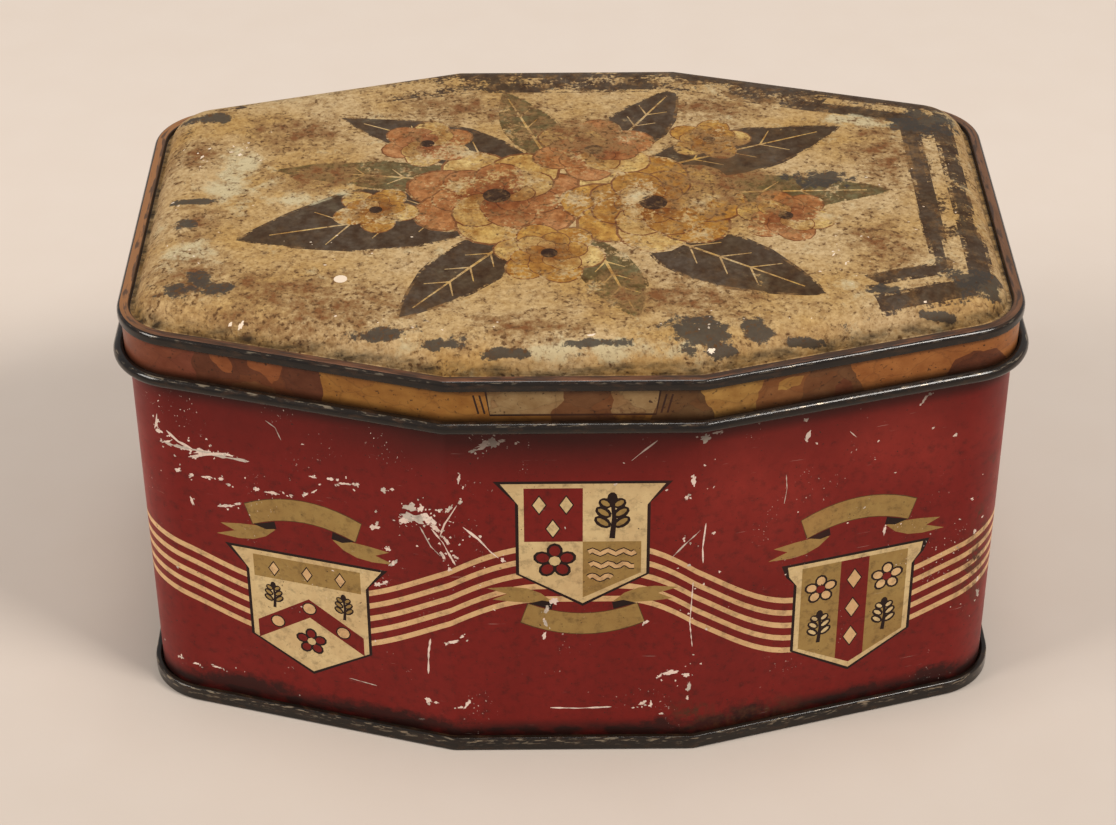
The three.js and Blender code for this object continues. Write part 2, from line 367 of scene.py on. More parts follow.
banner = {  # each arch is its height, its sag and its half length
    "above": 8.0, "below": 1.8, "steps": 10,
    "panel": ((0.0, 2.4, 10.2), (4.9, 2.9, 11.6)), "edge": ((-0.16, 2.42, 10.35), (5.06, 2.9, 11.78)),
    "tail": [(5.7, -2.9), (9.0, -2.6), (12.8, -2.9), (16.9, -3.5), (14.1, -4.8), (17.9, -6.2),
             (13.4, -6.5), (10.4, -6.1), (7.8, -4.9)],
    "fold": [(5.8, -1.0), (5.5, -2.7), (7.6, -3.2), (10.15, -2.45)],
}
charge = {  # parts of the small charges, in shares of the charge's size, and outlines in millimetres
    "stalk": ((0.0, -1.0), (0.08, 0.0), (0.0, 0.7)), "stalkWidths": (0.22, 0.18, 0.14),
    "leaves": ((-0.45, 0.75), (0.0, 0.7), (0.42, 0.55)), "leafPlace": (0.48, 0.22), "leafTilt": 38,
    "leafEdge": (0.5, 0.24), "leafInside": (0.36, 0.11), "budHeight": 0.86, "bud": (0.2, 0.3),
    "petals": 5, "petalInside": 0.68, "petalPlace": 0.55, "petal": (0.42, 0.36), "heart": 0.26,
    "lozengeWidth": 0.62, "lozengeEdge": 0.42, "roundelEdge": 0.28,
    "waveHeight": 0.42, "waveTurns": 2.2, "waveSteps": 12, "waveEdge": 0.5,
    "chevron": ((-1, -17.6), (0, -10.4), (1, -17.6), (1, -22), (0, -14.9), (-1, -22)),  # half fields, drop
}


def stripeHeight(along):  # the wave of the five stripes, with its crest at the middle of the front and back
    fromCrest = along - wall["printShift"]
    wave = wall["stripeWave"][1 if fromCrest > 0 else -1]
    distance = min(abs(fromCrest), 2 * halfRound - abs(fromCrest))
    distance = min(distance, halfRound - distance)
    for (start, low), (end, high) in zip(wave, wave[1:]):
        if distance <= end:
            share = max(distance - start, 0.0) / (end - start)
            return low + (high - low) * (0.5 - 0.5 * math.cos(math.pi * share))
    return wave[-1][1]


def stripeShapes():
    count = int(2 * halfRound / wall["stripeStep"])
    steps = [-halfRound + 2 * halfRound * step / count for step in range(count + 1)]
    found = []
    for stripe in range(wall["stripes"]):
        lift = (stripe - (wall["stripes"] - 1) / 2) * wall["stripePitch"]
        half = wall["stripeWidth"] / 2
        lower = [(along, stripeHeight(along) + lift - half) for along in steps]
        upper = [(along, stripeHeight(along) + lift + half) for along in reversed(steps)]
        found.append(shapeOf("cream", lower + upper))
    return found


def shieldOutline(middle, top, reach, inset):  # a shield with flared ears and a pointed foot
    half = shieldSize["halfWidth"] - inset
    ear = reach - inset * shieldSize["earInset"]
    foot = shieldSize["height"] - inset * shieldSize["footInset"]
    curlOut, curlDrop = shieldSize["earCurl"]
    side = [
        (ear, -inset), (half + curlOut, -shieldSize["earDrop"] * curlDrop),
        (half, -shieldSize["earDrop"] - inset),
        (half, -shieldSize["sideDrop"] + inset * shieldSize["sideInset"]),
    ]
    outline = [(middle - x, top + y) for x, y in side] + [(middle, top - foot)]
    return outline + [(middle + x, top + y) for x, y in reversed(side)]


def clippedField(middle, top, left, right, upper, lower):  # part of the shield's field between four lines
    foot = top - shieldSize["height"] + fieldInset * shieldSize["fieldFoot"]
    side = top - shieldSize["sideDrop"] + shieldSize["fieldSide"]

    def floorAt(x):
        if lower is not None:
            return top - lower
        return side - (side - foot) * (1 - abs(x) / fieldHalf)
    points = [(left, top - upper), (left, floorAt(left))]
    if lower is None and left < 0 < right:
        points.append((0.0, foot))
    points += [(right, floorAt(right)), (right, top - upper)]
    return [(middle + x, y) for x, y in points]


def sprig(middle, height, size, ink):  # a stalk with paired leaves and a bud
    stalk = [(middle + x * size, height + y * size) for x, y in charge["stalk"]]
    found = [shapeOf("outline", ribbonOutline(stalk, [width * size for width in charge["stalkWidths"]]))]
    out, up = charge["leafPlace"]
    for level, reach in charge["leaves"]:
        for side in (-1, 1):
            place = (middle + side * out * reach * size, height + (level + up) * size)
            angle = side * math.radians(charge["leafTilt"])
            for tone, part, points in (("outline", "leafEdge", 10), (ink, "leafInside", 8)):
                long, wide = charge[part]
                leaf = ellipseOutline(place, long * (reach * size), wide * size, angle, points)
                found.append(shapeOf(tone, leaf))
    across, high = charge["bud"]
    bud = ellipseOutline((middle, height + charge["budHeight"] * size), across * size, high * size, 0, 10)
    return found + [shapeOf("outline", bud)]


def rosette(middle, height, size, ink, heart):  # five round petals about a heart
    found = []
    out = charge["petalPlace"] * size
    long, wide = charge["petal"]
    for tone, grown in (("outline", size), (ink, size * charge["petalInside"])):
        for petal in range(charge["petals"]):
            turn = math.pi / 2 + 2 * math.pi * petal / charge["petals"]
            place = (middle + out * math.cos(turn), height + out * math.sin(turn))
            found.append(shapeOf(tone, ellipseOutline(place, long * grown, wide * grown, turn, 10)))
    reach = charge["heart"] * size
    return found + [shapeOf(heart, ellipseOutline((middle, height), reach, reach, 0, 8))]


def lozenge(middle, height, size, ink):
    found = []
    for tone, grown in (("outline", size + charge["lozengeEdge"]), (ink, size)):
        spread = charge["lozengeWidth"] * grown
        points = [(-spread, 0), (0, -grown), (spread, 0), (0, grown)]
        found.append(shapeOf(tone, [(middle + x, height + y) for x, y in points]))
    return found


def roundel(middle, height, size, ink):
    return [shapeOf(tone, ellipseOutline((middle, height), grown, grown, 0, 12))
            for tone, grown in (("outline", size + charge["roundelEdge"]), (ink, size))]


def wavyBar(middle, height, reach, thickness, ink):
    left, right = middle - reach * fieldHalf, middle + reach * fieldHalf
    count, rise, turns = charge["waveSteps"], charge["waveHeight"], charge["waveTurns"]
    steps = [left + (right - left) * step / count for step in range(count + 1)]
    line = [(x, height + rise * math.sin((x - left) * turns)) for x in steps]
    return [shapeOf(tone, ribbonOutline(line, [width] * len(line)))
            for tone, width in (("outline", thickness + charge["waveEdge"]), (ink, thickness))]


def chevronBar(middle, top, ink):
    return [shapeOf(ink, [(middle + x * fieldHalf, top + y) for x, y in charge["chevron"]])]


# The shields' plain fields, each an ink, its left and right and the drops of its top and foot, and then the
# charges on them, each with its place across in half fields, its drop, and then its sizes and inks
designs = {
    "quarters": (
        [("red", -fieldHalf, 0, fieldInset, fieldRow), ("olive", 0, fieldHalf, fieldRow, None)],
        [(lozenge, -0.74, 5.4, 1.9, "gold"), (lozenge, -0.28, 5.4, 1.9, "gold"),
         (lozenge, -0.51, 10.8, 1.9, "gold"), (sprig, 0.5, 8.2, 4.9, "olive"),
         (rosette, -0.48, 18.3, 4.3, "red", "gold"), (wavyBar, 0.5, 16.3, 0.4, 0.9, "cream"),
         (wavyBar, 0.5, 19.3, 0.38, 0.9, "cream"), (wavyBar, 0.3, 22.2, 0.2, 0.9, "cream")],
    ),
    "chevron": (
        [("olive", -fieldHalf, fieldHalf, fieldInset, 6.8)],
        [(lozenge, -0.62, 4.4, 1.5, "cream"), (lozenge, 0, 4.4, 1.5, "cream"),
         (lozenge, 0.62, 4.4, 1.5, "cream"), (chevronBar, 0, 0, "red"),
         (roundel, -0.62, 17.2, 1.25, "cream"), (roundel, 0, 12.7, 1.25, "cream"),
         (roundel, 0.62, 17.2, 1.25, "cream"), (sprig, -0.66, 11, 2.9, "olive"),
         (sprig, 0.66, 11, 2.9, "olive"), (rosette, 0, 20.8, 3.4, "red", "gold")],
    ),
    "pale": (
        [("olive", -fieldHalf, fieldHalf, fieldInset, None), ("red", -2.88, 2.88, fieldInset, None)],
        [(rosette, -0.63, 7.4, 3.6, "cream", "red"), (rosette, 0.63, 7.4, 3.6, "cream", "red"),
         (sprig, -0.62, 16.8, 3.7, "gold"), (sprig, 0.62, 16.8, 3.7, "gold"),
         (lozenge, 0, 6.4, 2.2, "cream"), (lozenge, 0, 13.4, 2.2, "cream"),
         (lozenge, 0, 20.4, 2.2, "cream")],
    ),
    "bend": (
        [("red", -fieldHalf, fieldHalf, fieldInset, fieldRow)],
        [(rosette, -0.62, 7.8, 3, "cream", "red"), (rosette, 0, 7.8, 3, "cream", "red"),
         (rosette, 0.62, 7.8, 3, "cream", "red"), (wavyBar, 0, 16.4, 0.86, 1.1, "olive"),
         (wavyBar, 0, 19.4, 0.76, 1.1, "olive"), (wavyBar, 0, 22.4, 0.4, 1.1, "olive")],
    ),
}


def shieldDesign(kind, middle, top):
    fields, charges = designs[kind]
    found = [shapeOf(ink, clippedField(middle, top, *edges)) for ink, *edges in fields]
    for draw, across, drop, *look in charges:
        found += draw(middle + across * fieldHalf, top - drop, *look)
    return found


def bannerShapes(middle, height, way):  # a bare ribbon in an arch, its folds and its forked tails
    def at(points):
        return [(middle + x, height + way * y) for x, y in points]

    def arch(lift, sag, reach):
        spots = [-reach + 2 * reach * step / banner["steps"] for step in range(banner["steps"] + 1)]
        return [(x, lift - sag * (x / reach) ** 2) for x in spots]

    def pair(ink, part):
        return [shapeOf(ink, at([(side * x, y) for x, y in banner[part]])) for side in (-1, 1)]

    def band(ink, part):
        low, high = banner[part]
        return [shapeOf(ink, at(arch(*low) + arch(*high)[::-1]))]
    ribbon = band("bannerEdge", "edge") + band("olive", "panel")
    return pair("olive", "tail") + ribbon + pair("outline", "fold")


# Chips and scratches in the wall's print, in millimetres along the wall and up it
chipSpots = [  # along, up, length, width, slant in degrees
    (-80, 65.2, 3.2, 0.8, 70), (-79.6, 63.8, 1.8, 1.4, 10), (-78, 61.8, 2.6, 0.6, 25),
    (-71, 60.9, 4.2, 1.6, 8), (-66, 61.2, 4.6, 0.6, 2), (-72.4, 59.4, 1.6, 0.9, 30),
    (-74.8, 61, 4, 0.7, -8), (-62.6, 60.5, 2.2, 0.5, 5), (-49, 59.6, 1.8, 0.5, 0),
    (-45.6, 59.8, 1.6, 0.7, 10), (-42.8, 59.3, 3, 0.6, 4), (-40.4, 59.6, 1.2, 0.8, 30),
    (-35.2, 59.4, 1.3, 1.6, 60), (-33.6, 59.9, 1.1, 0.8, 0), (-76.2, 55.6, 1.6, 0.9, 10),
    (-73.6, 55, 1.3, 0.8, 45), (-70.4, 55.2, 2.2, 0.6, 10), (-67.6, 55.4, 1.4, 0.8, 20),
    (-66, 54.3, 1, 0.8, 0), (-60.6, 54.4, 1.4, 1, 10), (-57.4, 54.2, 3.2, 0.7, 0),
    (-53.6, 54.4, 1.1, 0.8, 30), (-50.8, 55.2, 2, 0.6, 35), (-49, 56.2, 1.8, 0.35, 42),
    (-30.2, 56.4, 3.6, 2, 20), (-29.4, 54.2, 6.4, 2.6, 4), (-26.6, 54.6, 3.4, 2.2, -20),
    (-31.6, 53, 2.2, 1.4, 30), (-28, 56.6, 2, 1.2, 50), (-25.4, 52.6, 3, 1.2, -40),
    (-23.4, 50.2, 2.4, 1, -60), (-22.6, 57.6, 2.4, 0.7, 55), (-20.6, 59.2, 1.5, 0.8, 70),
    (-24.4, 57, 1.3, 0.8, 30), (-37.4, 50.4, 2.6, 1.3, 20), (-36.8, 51.4, 1.5, 0.7, 70),
    (-35, 45.8, 1.4, 1.1, 0), (-34, 42.6, 2.6, 1, 50), (-37.2, 36.9, 1.8, 1, 20), (-36, 37.6, 1.2, 0.8, 60),
    (-24.2, 46.6, 2, 0.8, -60), (-21.6, 46.4, 1.8, 0.7, -50), (-23, 43.6, 1.2, 0.7, 80),
    (-13, 45.6, 1.4, 0.8, -50), (-15.6, 72, 4.6, 1.7, 22), (-14.3, 72.3, 2.6, 2.4, 80),
    (-18, 70.6, 1.8, 0.9, 30), (-12.8, 72.8, 1.8, 0.8, 10), (-10.2, 72.2, 0.9, 0.6, 0),
    (-20.7, 64.4, 2.4, 0.6, 85), (-20, 62.4, 0.9, 0.5, 80), (21.9, 63.6, 2.8, 0.9, 88),
    (20.7, 59.8, 1.2, 0.8, 80), (23.8, 72.8, 2.4, 1.9, 10), (26, 73.7, 2.6, 0.6, 4),
    (43.8, 69.2, 2.4, 1, 75), (43.2, 72.8, 1.6, 0.5, 15), (66.6, 72.6, 2.6, 0.6, 60),
    (67.6, 73.4, 1.2, 0.5, 20), (26, 51, 0.9, 0.5, 20), (20.4, 50.4, 1, 0.5, 60),
    (18.4, 18.2, 3.6, 1.2, 12), (16.6, 17.4, 1.4, 0.6, 50), (21.6, 17.6, 1.2, 1.6, 80),
    (22.2, 14.6, 0.9, 2.6, 0), (22, 11.6, 0.7, 1, 0), (13.4, 10.6, 2.2, 0.9, 40), (15, 10.4, 0.6, 1.8, 0),
    (11.6, 9.4, 1, 0.5, 0), (-28.2, 10.4, 1.2, 2, 20), (-26.6, 10.2, 0.9, 0.7, 0),
    (-20.2, 10.8, 3, 0.8, 58), (-21.6, 9.8, 1.4, 0.6, 0), (-29.8, 5.2, 1.6, 0.6, 10),
    (-3.6, 36, 2.2, 1.8, -30), (-5, 33.6, 2, 1.1, 60), (-5.2, 30.6, 1, 2.4, 10), (-5.4, 27.6, 0.9, 2, -5),
    (60.6, 43.6, 0.7, 2.8, 0), (-22.6, 26.2, 2.8, 0.7, 18), (-24, 25.4, 1.2, 0.6, 60),
    (-21, 27.4, 1.2, 0.5, 40), (13.6, 30.6, 1.6, 0.8, 30), (83, 22, 1.4, 2.6, 10),
    (82.4, 25.6, 0.8, 1.6, 0), (-80.2, 8.6, 2, 0.6, 0), (-76.6, 8.2, 1.6, 0.6, 10),
    (-72, 8.4, 2.4, 0.5, -5), (17, 7.8, 1.2, 0.4, 0), (80, 38.6, 0.9, 1.6, 0), (78.4, 47, 0.8, 0.5, 0),
    (68.8, 65.6, 0.9, 0.5, 40), (73.6, 63, 0.6, 0.9, 0), (-74, 49, 0.7, 2.4, 12), (-67, 49.2, 3.6, 0.7, 12),
    (-64.6, 50.2, 1.8, 0.6, 20), (7.8, 63, 0.9, 0.5, 20),
]
scratchLines = [  # width, then the points that the scratch follows
    (0.55, [(-27.2, 26.0), (-27.7, 22.5), (-27.9, 17.2)]),
    (0.42, [(-4.4, 9.6), (1.0, 9.4), (7.4, 9.7)]),
    (0.5, [(-20.2, 53.4), (-17.4, 50.6), (-15.2, 47.6), (-13.8, 46.2)]),
    (0.45, [(-26.2, 52.4), (-24.0, 49.6), (-22.4, 46.0), (-21.8, 44.6)]),
    (0.35, [(-28.4, 52.4), (-26.4, 48.2), (-24.6, 46.4)]),
    (0.4, [(-24.6, 50.8), (-23.6, 54.0), (-21.2, 58.4)]),
    (0.35, [(10.6, 68.2), (12.6, 70.2), (15.2, 72.6)]),
    (0.3, [(39.9, 61.2), (40.2, 58.0), (39.8, 54.6)]),
    (0.3, [(18.0, 45.6), (20.6, 49.0), (23.4, 52.2)]),
    (0.3, [(24.2, 44.4), (24.0, 48.0), (24.5, 53.6)]),
    (0.4, [(-79.6, 67.6), (-80.2, 64.4)]),
    (0.6, [(-77.8, 64.4), (-75.6, 62.4), (-72.8, 61.2)]),
    (0.75, [(-78.4, 61.4), (-70.6, 61.0), (-66.8, 60.6), (-61.8, 60.6)]),
    (0.6, [(-73.8, 59.2), (-69.6, 60.6), (-66.0, 61.6)]),
    (0.25, [(52.0, 68.4), (53.4, 66.8)]),
    (0.3, [(-57.6, 70.6), (-55.8, 69.4), (-54.8, 66.8)]),
    (0.25, [(22.4, 40.2), (22.0, 30.4), (22.6, 24.6)]),
    (0.25, [(-44.2, 12.2), (-38.6, 11.6)]),
]
speckFields = [  # middle along and up, spread along and up, how many
    (-72, 60.5, 5, 2.2, 14), (-28, 54, 4.5, 3.2, 18), (-22, 47, 3, 4, 12), (22.5, 46, 2, 12, 14),
    (22, 16, 1.4, 5, 8), (-46, 58.5, 7, 1.6, 5), (60, 45, 14, 14, 8), (-74, 9, 6, 0.8, 6),
    (80, 30, 3, 12, 10), (-60, 45, 14, 20, 8), (0, 55, 50, 16, 12),
]
wallWear = {
    "seed": 11, "heights": (4.1, 74.0), "speckLength": (0.25, 0.8), "slimness": (0.4, 1.0),
    "slants": (0, 180), "crumbs": 1.1, "crumbSpread": (0.36, 0.45),
    "hidden": ((60, 2.4), (110, 0.8)), "hiddenFrom": 90,  # how many and how long, on the ends and the back
    "hiddenSlimness": (0.3, 0.8), "hiddenSlants": (-30, 60), "hiddenLeast": 0.2, "seamGap": 4,
    "bare": (0.5, 1.0),
}
brokenEdge = {  # points of a small and a large chip, and how chips and scratches stray
    "small": 9, "large": 19, "largeFrom": 1.2, "stray": (0.45, 1.15),
    "scratchStep": 0.8, "scratchWidths": (0.2, 1.1), "scratchEnd": 0.2,
}


def chipOutline(spot, dice):  # a flake with a ragged edge
    along, up, length, width, slant = spot
    points = brokenEdge["small" if max(length, width) < brokenEdge["largeFrom"] else "large"]
    outline = []
    for step in range(points):
        turn = 2 * math.pi * step / points
        ragged = dice.uniform(*brokenEdge["stray"])
        place = Vector((length / 2 * math.cos(turn), width / 2 * math.sin(turn))) * ragged
        place = turned(place, math.radians(slant))
        outline.append((along + place.x, up + place.y))
    return outline


def flake(place, length, slimness, slants, dice):  # a chip of a random width and slant
    return chipOutline((*place, length, length * dice.uniform(*slimness), dice.uniform(*slants)), dice)


def scratchOutline(width, points, dice):  # a ragged line, wider and narrower along its way
    line = []
    for start, end in zip(points, points[1:]):
        steps = max(2, int(math.dist(start, end) / brokenEdge["scratchStep"]))
        line += [tuple(Vector(start).lerp(Vector(end), step / steps)) for step in range(steps)]
    line.append(points[-1])
    widths = [width * dice.uniform(*brokenEdge["scratchWidths"]) for _ in line]
    widths[0] = widths[-1] = width * brokenEdge["scratchEnd"]
    return ribbonOutline(line, widths)


def wearShapes():
    dice = random.Random(wallWear["seed"])
    low, high = wallWear["heights"]
    usual = (wallWear["slimness"], wallWear["slants"], dice)
    outlines = [chipOutline(spot, dice) for spot in chipSpots]
    spreadLong, spreadWide = wallWear["crumbSpread"]
    for along, up, length, width, slant in chipSpots:  # crumbs about each chip
        for _ in range(int(1 + length * wallWear["crumbs"])):
            near = Vector((dice.gauss(0, length * spreadLong), dice.gauss(0, width * spreadWide)))
            near = turned(near, math.radians(slant))
            crumb = dice.uniform(*wallWear["speckLength"])
            outlines.append(flake((along + near.x, up + near.y), crumb, *usual))
    outlines += [scratchOutline(width, points, dice) for width, points in scratchLines]
    for along, up, spreadAlong, spreadUp, count in speckFields:
        for _ in range(count):
            length = dice.uniform(*wallWear["speckLength"])
            place = (dice.gauss(along, spreadAlong), min(max(dice.gauss(up, spreadUp), low), high))
            outlines.append(flake(place, length, *usual))
    last = halfRound - wallWear["seamGap"]
    for count, size in wallWear["hidden"]:
        for _ in range(count):
            along = dice.choice((-1, 1)) * dice.uniform(wallWear["hiddenFrom"], last)
            length = wallWear["hiddenLeast"] + size * dice.random() ** 3
            place = (along, dice.uniform(low, high))
            outlines.append(flake(place, length, wallWear["hiddenSlimness"], wallWear["hiddenSlants"], dice))
    return [shapeOf(dice.choice(("chip", "chip", "tin")), outline, bare=dice.uniform(*wallWear["bare"]))
            for outline in outlines]


def wallPrint():
    found = stripeShapes()
    for middle, top, reach, design, side in shields:
        way = 1 if side == "above" else -1
        edge = top if side == "above" else top - shieldSize["height"]
        found += bannerShapes(middle, edge + way * banner[side], way)
        found.append(shapeOf("outline", shieldOutline(middle, top, reach, 0.0)))
        found.append(shapeOf("gold", shieldOutline(middle, top, reach, shieldSize["outline"])))
        found += shieldDesign(design, middle, top)
    score = wall["sideSeamWidth"] / 2
    scoreFoot = wall["seamHeight"] + wall["scoreGap"]
    scoreLine = [(halfRound - score, scoreFoot), (halfRound - score, wall["scoreTop"])]
    found.append(shapeOf("outline", ribbonOutline(scoreLine, [wall["scoreWidth"]] * 2)))
    return found + wearShapes()


# Shader helpers
def addNode(tree, kind, given):  # a node with its settings and links, as its first output in use
    node = tree.nodes.new("ShaderNode" + kind)
    settings = [name for name in given if isinstance(name, str) and name in node.bl_rna.properties]
    for name in settings:
        setattr(node, name, given[name])
    for name in [name for name in given if name not in settings]:
        named = [socket for socket in node.inputs if socket.name == name and socket.enabled]
        socket = node.inputs[name] if isinstance(name, int) else named[0]
        if isinstance(given[name], bpy.types.NodeSocket):
            tree.links.new(given[name], socket)
        else:
            socket.default_value = given[name]
    return next((socket for socket in node.outputs if socket.enabled), None)


def newMaterial(name):  # an empty material, and what adds a node to it
    material = bpy.data.materials.new(name)
    material.use_nodes = True
    material.node_tree.nodes.clear()
    return material, partial(addNode, material.node_tree)


def surfaced(material, add, given):  # the material with its surface and output
    surface = add("BsdfPrincipled", given)
    add("OutputMaterial", {"Surface": surface})
    return material


def sheetInputs(add):  # the flat sheet's coordinates, the ink there, its place along and up, and its marks
    flat = add("UVMap", {"uv_map": "flatSheet"})
    ink = add("Attribute", {"attribute_name": "ink"})
    marks = add("Attribute", {"attribute_name": "marks"}).node.outputs["Vector"]
    place, marked = (add("SeparateXYZ", {0: source}).node.outputs for source in (flat, marks))
    return flat, ink, place, marked


def combined(add, operation, masks):  # several masks made one, two at a time
    whole = masks[0]
    for mask in masks[1:]:
        whole = add("Math", {"operation": operation, 0: whole, 1: mask})
    return whole


def grain(add, flat, size, cut, soft, detail, seed):  # a mask of blots of a size in mm
    shift = tuple(seed * share for share in blots["shift"])
    placed = add("Mapping", {"Scale": (1 / size[0], 1 / size[1], 1.0), "Location": shift, "Vector": flat})
    look = {"Scale": 1.0, "Detail": detail, "Roughness": blots["roughness"]}
    noise = add("TexNoise", {**look, "Vector": placed})
    return add("MapRange", {"From Min": cut - soft, "From Max": cut + soft, "Value": noise})


def stainsAt(add, flat, patches):  # the strongest of several stains, each 1 in its middle and 0 at its reach
    stains = []
    for along, up, reachAlong, reachUp in patches:
        moved = add("VectorMath", {"operation": "SUBTRACT", 0: flat, 1: (along, up, 0.0)})
        shrunk = add("VectorMath", {"operation": "DIVIDE", 0: moved, 1: (reachAlong, reachUp, 1.0)})
        distance = add("VectorMath", {"operation": "LENGTH", 0: shrunk}).node.outputs["Value"]
        stains.append(add("MapRange", {"From Min": 1.0, "From Max": blots["stainCore"], "Value": distance}))
    return combined(add, "MAXIMUM", stains)


def masksOf(add, flat, finish):  # a finish's grains and stains, by name
    masks = {name: grain(add, flat, *look) for name, look in finish["grains"].items()}
    for name, patches in finish.get("stains", {}).items():
        masks[name] = stainsAt(add, flat, patches)
    return masks


def painted(add, ground, layers, masks):  # colours laid over a ground in turn, each through its mask
    for name, colour, blend in layers:
        settings = {"data_type": "RGBA", "blend_type": blend, "B": linear(colour)}
        ground = add("Mix", {**settings, "Factor": masks[name], "A": ground})
    return ground


blots = {"shift": (1.0, 0.61, 0.37), "roughness": 0.58, "stainCore": 0.2}

# Lithographed tinplate: stoving ink rolled on to the flat sheet and varnished, then folded. It gives an
# even satin colour, which has dulled in clouds and flaked in specks down to pinkish primer and tin.
# Shade under the lid's bead, and light and highlights on the upper right front and the ends' corners, are
# painted into its colour.
wallFinish = {
    "grains": {  # size in mm, cut, softness, detail, seed
        "cloud": ((16.0, 22.4), 0.5, 0.25, 5.0, 3.0),
        "mottle": ((1.6, 2.4), 0.52, 0.3, 6.0, 8.0),
        "fadeGrain": ((9.0, 14.0), 0.4, 0.3, 4.0, 19.0),
        "blotch": ((5.0, 3.2), 0.5, 0.22, 6.0, 21.0),
        "rustGrain": ((1.5, 2.0), 0.52, 0.1, 6.0, 31.0),
        "pits": ((0.6, 0.6), 0.71, 0.015, 3.0, 47.0),
        "specks": ((0.55, 0.66), 0.69, 0.015, 2.0, 5.0),
        "speckField": ((11.0, 11.0), 0.64, 0.05, 3.0, 15.0),
        "rubs": ((9.0, 0.35), 0.76, 0.03, 3.0, 61.0),
        "sheen": ((7.0, 7.0), 0.5, 0.3, 5.0, 81.0),
    },
    "stains": {  # along, up and reach of each
        # painted light on the upper right front, and painted highlights down the ends' corners
        "fade": ((34, 58, 22, 22), (62, 64, 26, 14), (88, 45, 5, 46), (-88, 45, 5, 46)),
        # partly painted shadow under the lid's bead and partly a smudge, at the top of the front
        "smudge": ((0, 75, 40, 12), (-20, 75, 46, 12)),
        "soot": ((17, 4.7, 7, 3.0), (34, 5.0, 7, 3.5), (26, 4.6, 9, 2.6), (58, 4.6, 9, 2.2), (74, 5, 9, 3),
                 (-36, 4.4, 30, 3.2), (-66, 5.2, 18, 3.8)),
        "rust": ((81, 30, 6, 15), (34, 5, 16, 4), (23, 8, 6, 5), (83, 54, 2.4, 2), (80.6, 43, 2.2, 2.4)),
    },
    # heights from which and at which each band of grime and painted shade is full, and how full
    # the top band is grime and painted shade under the lid's bead, and the shade band is the bead's painted
    # shadow
    "shadeAndGrimeTop": (60.0, 76.0, 0.5), "grimeFoot": (7.0, 4.2, 1.3), "shade": (70.0, 74.2, 0.78),
    "thinnest": 0.45, "smudgedAndShadowed": 0.75, "sootPush": 0.5, "sootCut": (0.5, 0.88, 0.9), "rubbed": 0.3,
    "layers": (
        # the third layer adds painted light and highlights to the red
        ("cloud", "#e2d4cc", "MULTIPLY"), ("mottle", "#ebe4e0", "MULTIPLY"), ("fade", "#5a2018", "ADD"),
        # grime with painted shade under the lid's bead, then rust, pits and chips
        ("grime", "#27110e", "MIX"), ("rust", "#4b2a1a", "MIX"), ("pits", "#34201a", "MIX"),
        ("lost", "#f2dccd", "MIX"),
    ),
    "roughness": (0.34, 0.5), "specular": 0.18, "bareMetal": 0.1, "waves": (0.05, 0.5, 0.0012),
    "flakeStep": (0.3, 0.00005), "ragged": {"Scale": 0.5, "Detail": 6.0, "Roughness": 0.7},
}


def makeWallPrint():
    material, add = newMaterial("lithographed tinplate")
    flat, ink, place, marks = sheetInputs(add)
    masks = masksOf(add, flat, wallFinish)
    inked = add("Math", {"operation": "SUBTRACT", "use_clamp": True, 0: 1.0, 1: marks["X"]})
    masks["cloud"] = combined(add, "MULTIPLY", [masks["cloud"], inked])
    masks["mottle"] = combined(add, "MULTIPLY", [masks["mottle"], inked])
    # painted light and highlights, broken by a grain, only where ink is left
    masks["fade"] = combined(add, "MULTIPLY", [masks["fade"], masks["fadeGrain"], inked])
    # grime and painted shade under the lid's bead, painted shadow with a smudge at the top of the front,
    # grime above the base seam, thinner in places, and soot
    for name in ("shadeAndGrimeTop", "grimeFoot", "shade"):
        start, end, most = wallFinish[name]
        band = {"From Min": start, "From Max": end, "To Max": most}
        masks[name] = add("MapRange", {**band, "Value": place["Y"]})
    edge = combined(add, "MAXIMUM", [masks["shadeAndGrimeTop"], masks["grimeFoot"]])
    patchy = add("MapRange", {"To Min": wallFinish["thinnest"], "Value": masks["blotch"]})
    grime = combined(add, "MULTIPLY", [edge, patchy])
    # the painted shadow and smudge under the lid's bead, at their strength
    smudgedAndShadowed = combined(add, "MULTIPLY", [masks["smudge"], wallFinish["smudgedAndShadowed"]])
    ragged = add("TexNoise", {**wallFinish["ragged"], "Vector": flat})
    push = wallFinish["sootPush"]
    pushed = add("Math", {"operation": "MULTIPLY_ADD", 0: masks["soot"], 1: push, 2: ragged})
    start, end, most = wallFinish["sootCut"]
    sooted = add("MapRange", {"From Min": start, "From Max": end, "To Max": most, "Value": pushed})
    masks["grime"] = combined(add, "MAXIMUM", [grime, sooted, masks["shade"], smudgedAndShadowed])
    masks["rust"] = combined(add, "MULTIPLY", [masks["rust"], masks["rustGrain"]])
    # specks and fine rubs down to the primer
    speckled = combined(add, "MULTIPLY", [masks["specks"], masks["speckField"]])
    rubbed = combined(add, "MULTIPLY", [masks["rubs"], wallFinish["rubbed"]])
    masks["lost"] = combined(add, "MAXIMUM", [speckled, rubbed])
    metal = combined(add, "MULTIPLY", [marks["X"], wallFinish["bareMetal"]])
    least, most = wallFinish["roughness"]
    rough = add("MapRange", {"To Min": least, "To Max": most, "Value": masks["sheen"]})
    # the sheet's faint waviness and the step down into each chip
    scale, strength, height = wallFinish["waves"]
    waves = add("TexNoise", {"Scale": scale, "Detail": 1.0, "Vector": flat})
    wavy = add("Bump", {"Strength": strength, "Distance": height, "Height": waves})
    strength, height = wallFinish["flakeStep"]
    step = {"Strength": strength, "Distance": height, "invert": True}
    flaked = add("Bump", {**step, "Height": masks["lost"], "Normal": wavy})
    return surfaced(material, add, {
        "Base Color": painted(add, ink, wallFinish["layers"], masks), "Metallic": metal, "Roughness": rough,
        "IOR": varnishIndex, "Specular IOR Level": wallFinish["specular"], "Normal": flaked,
    })


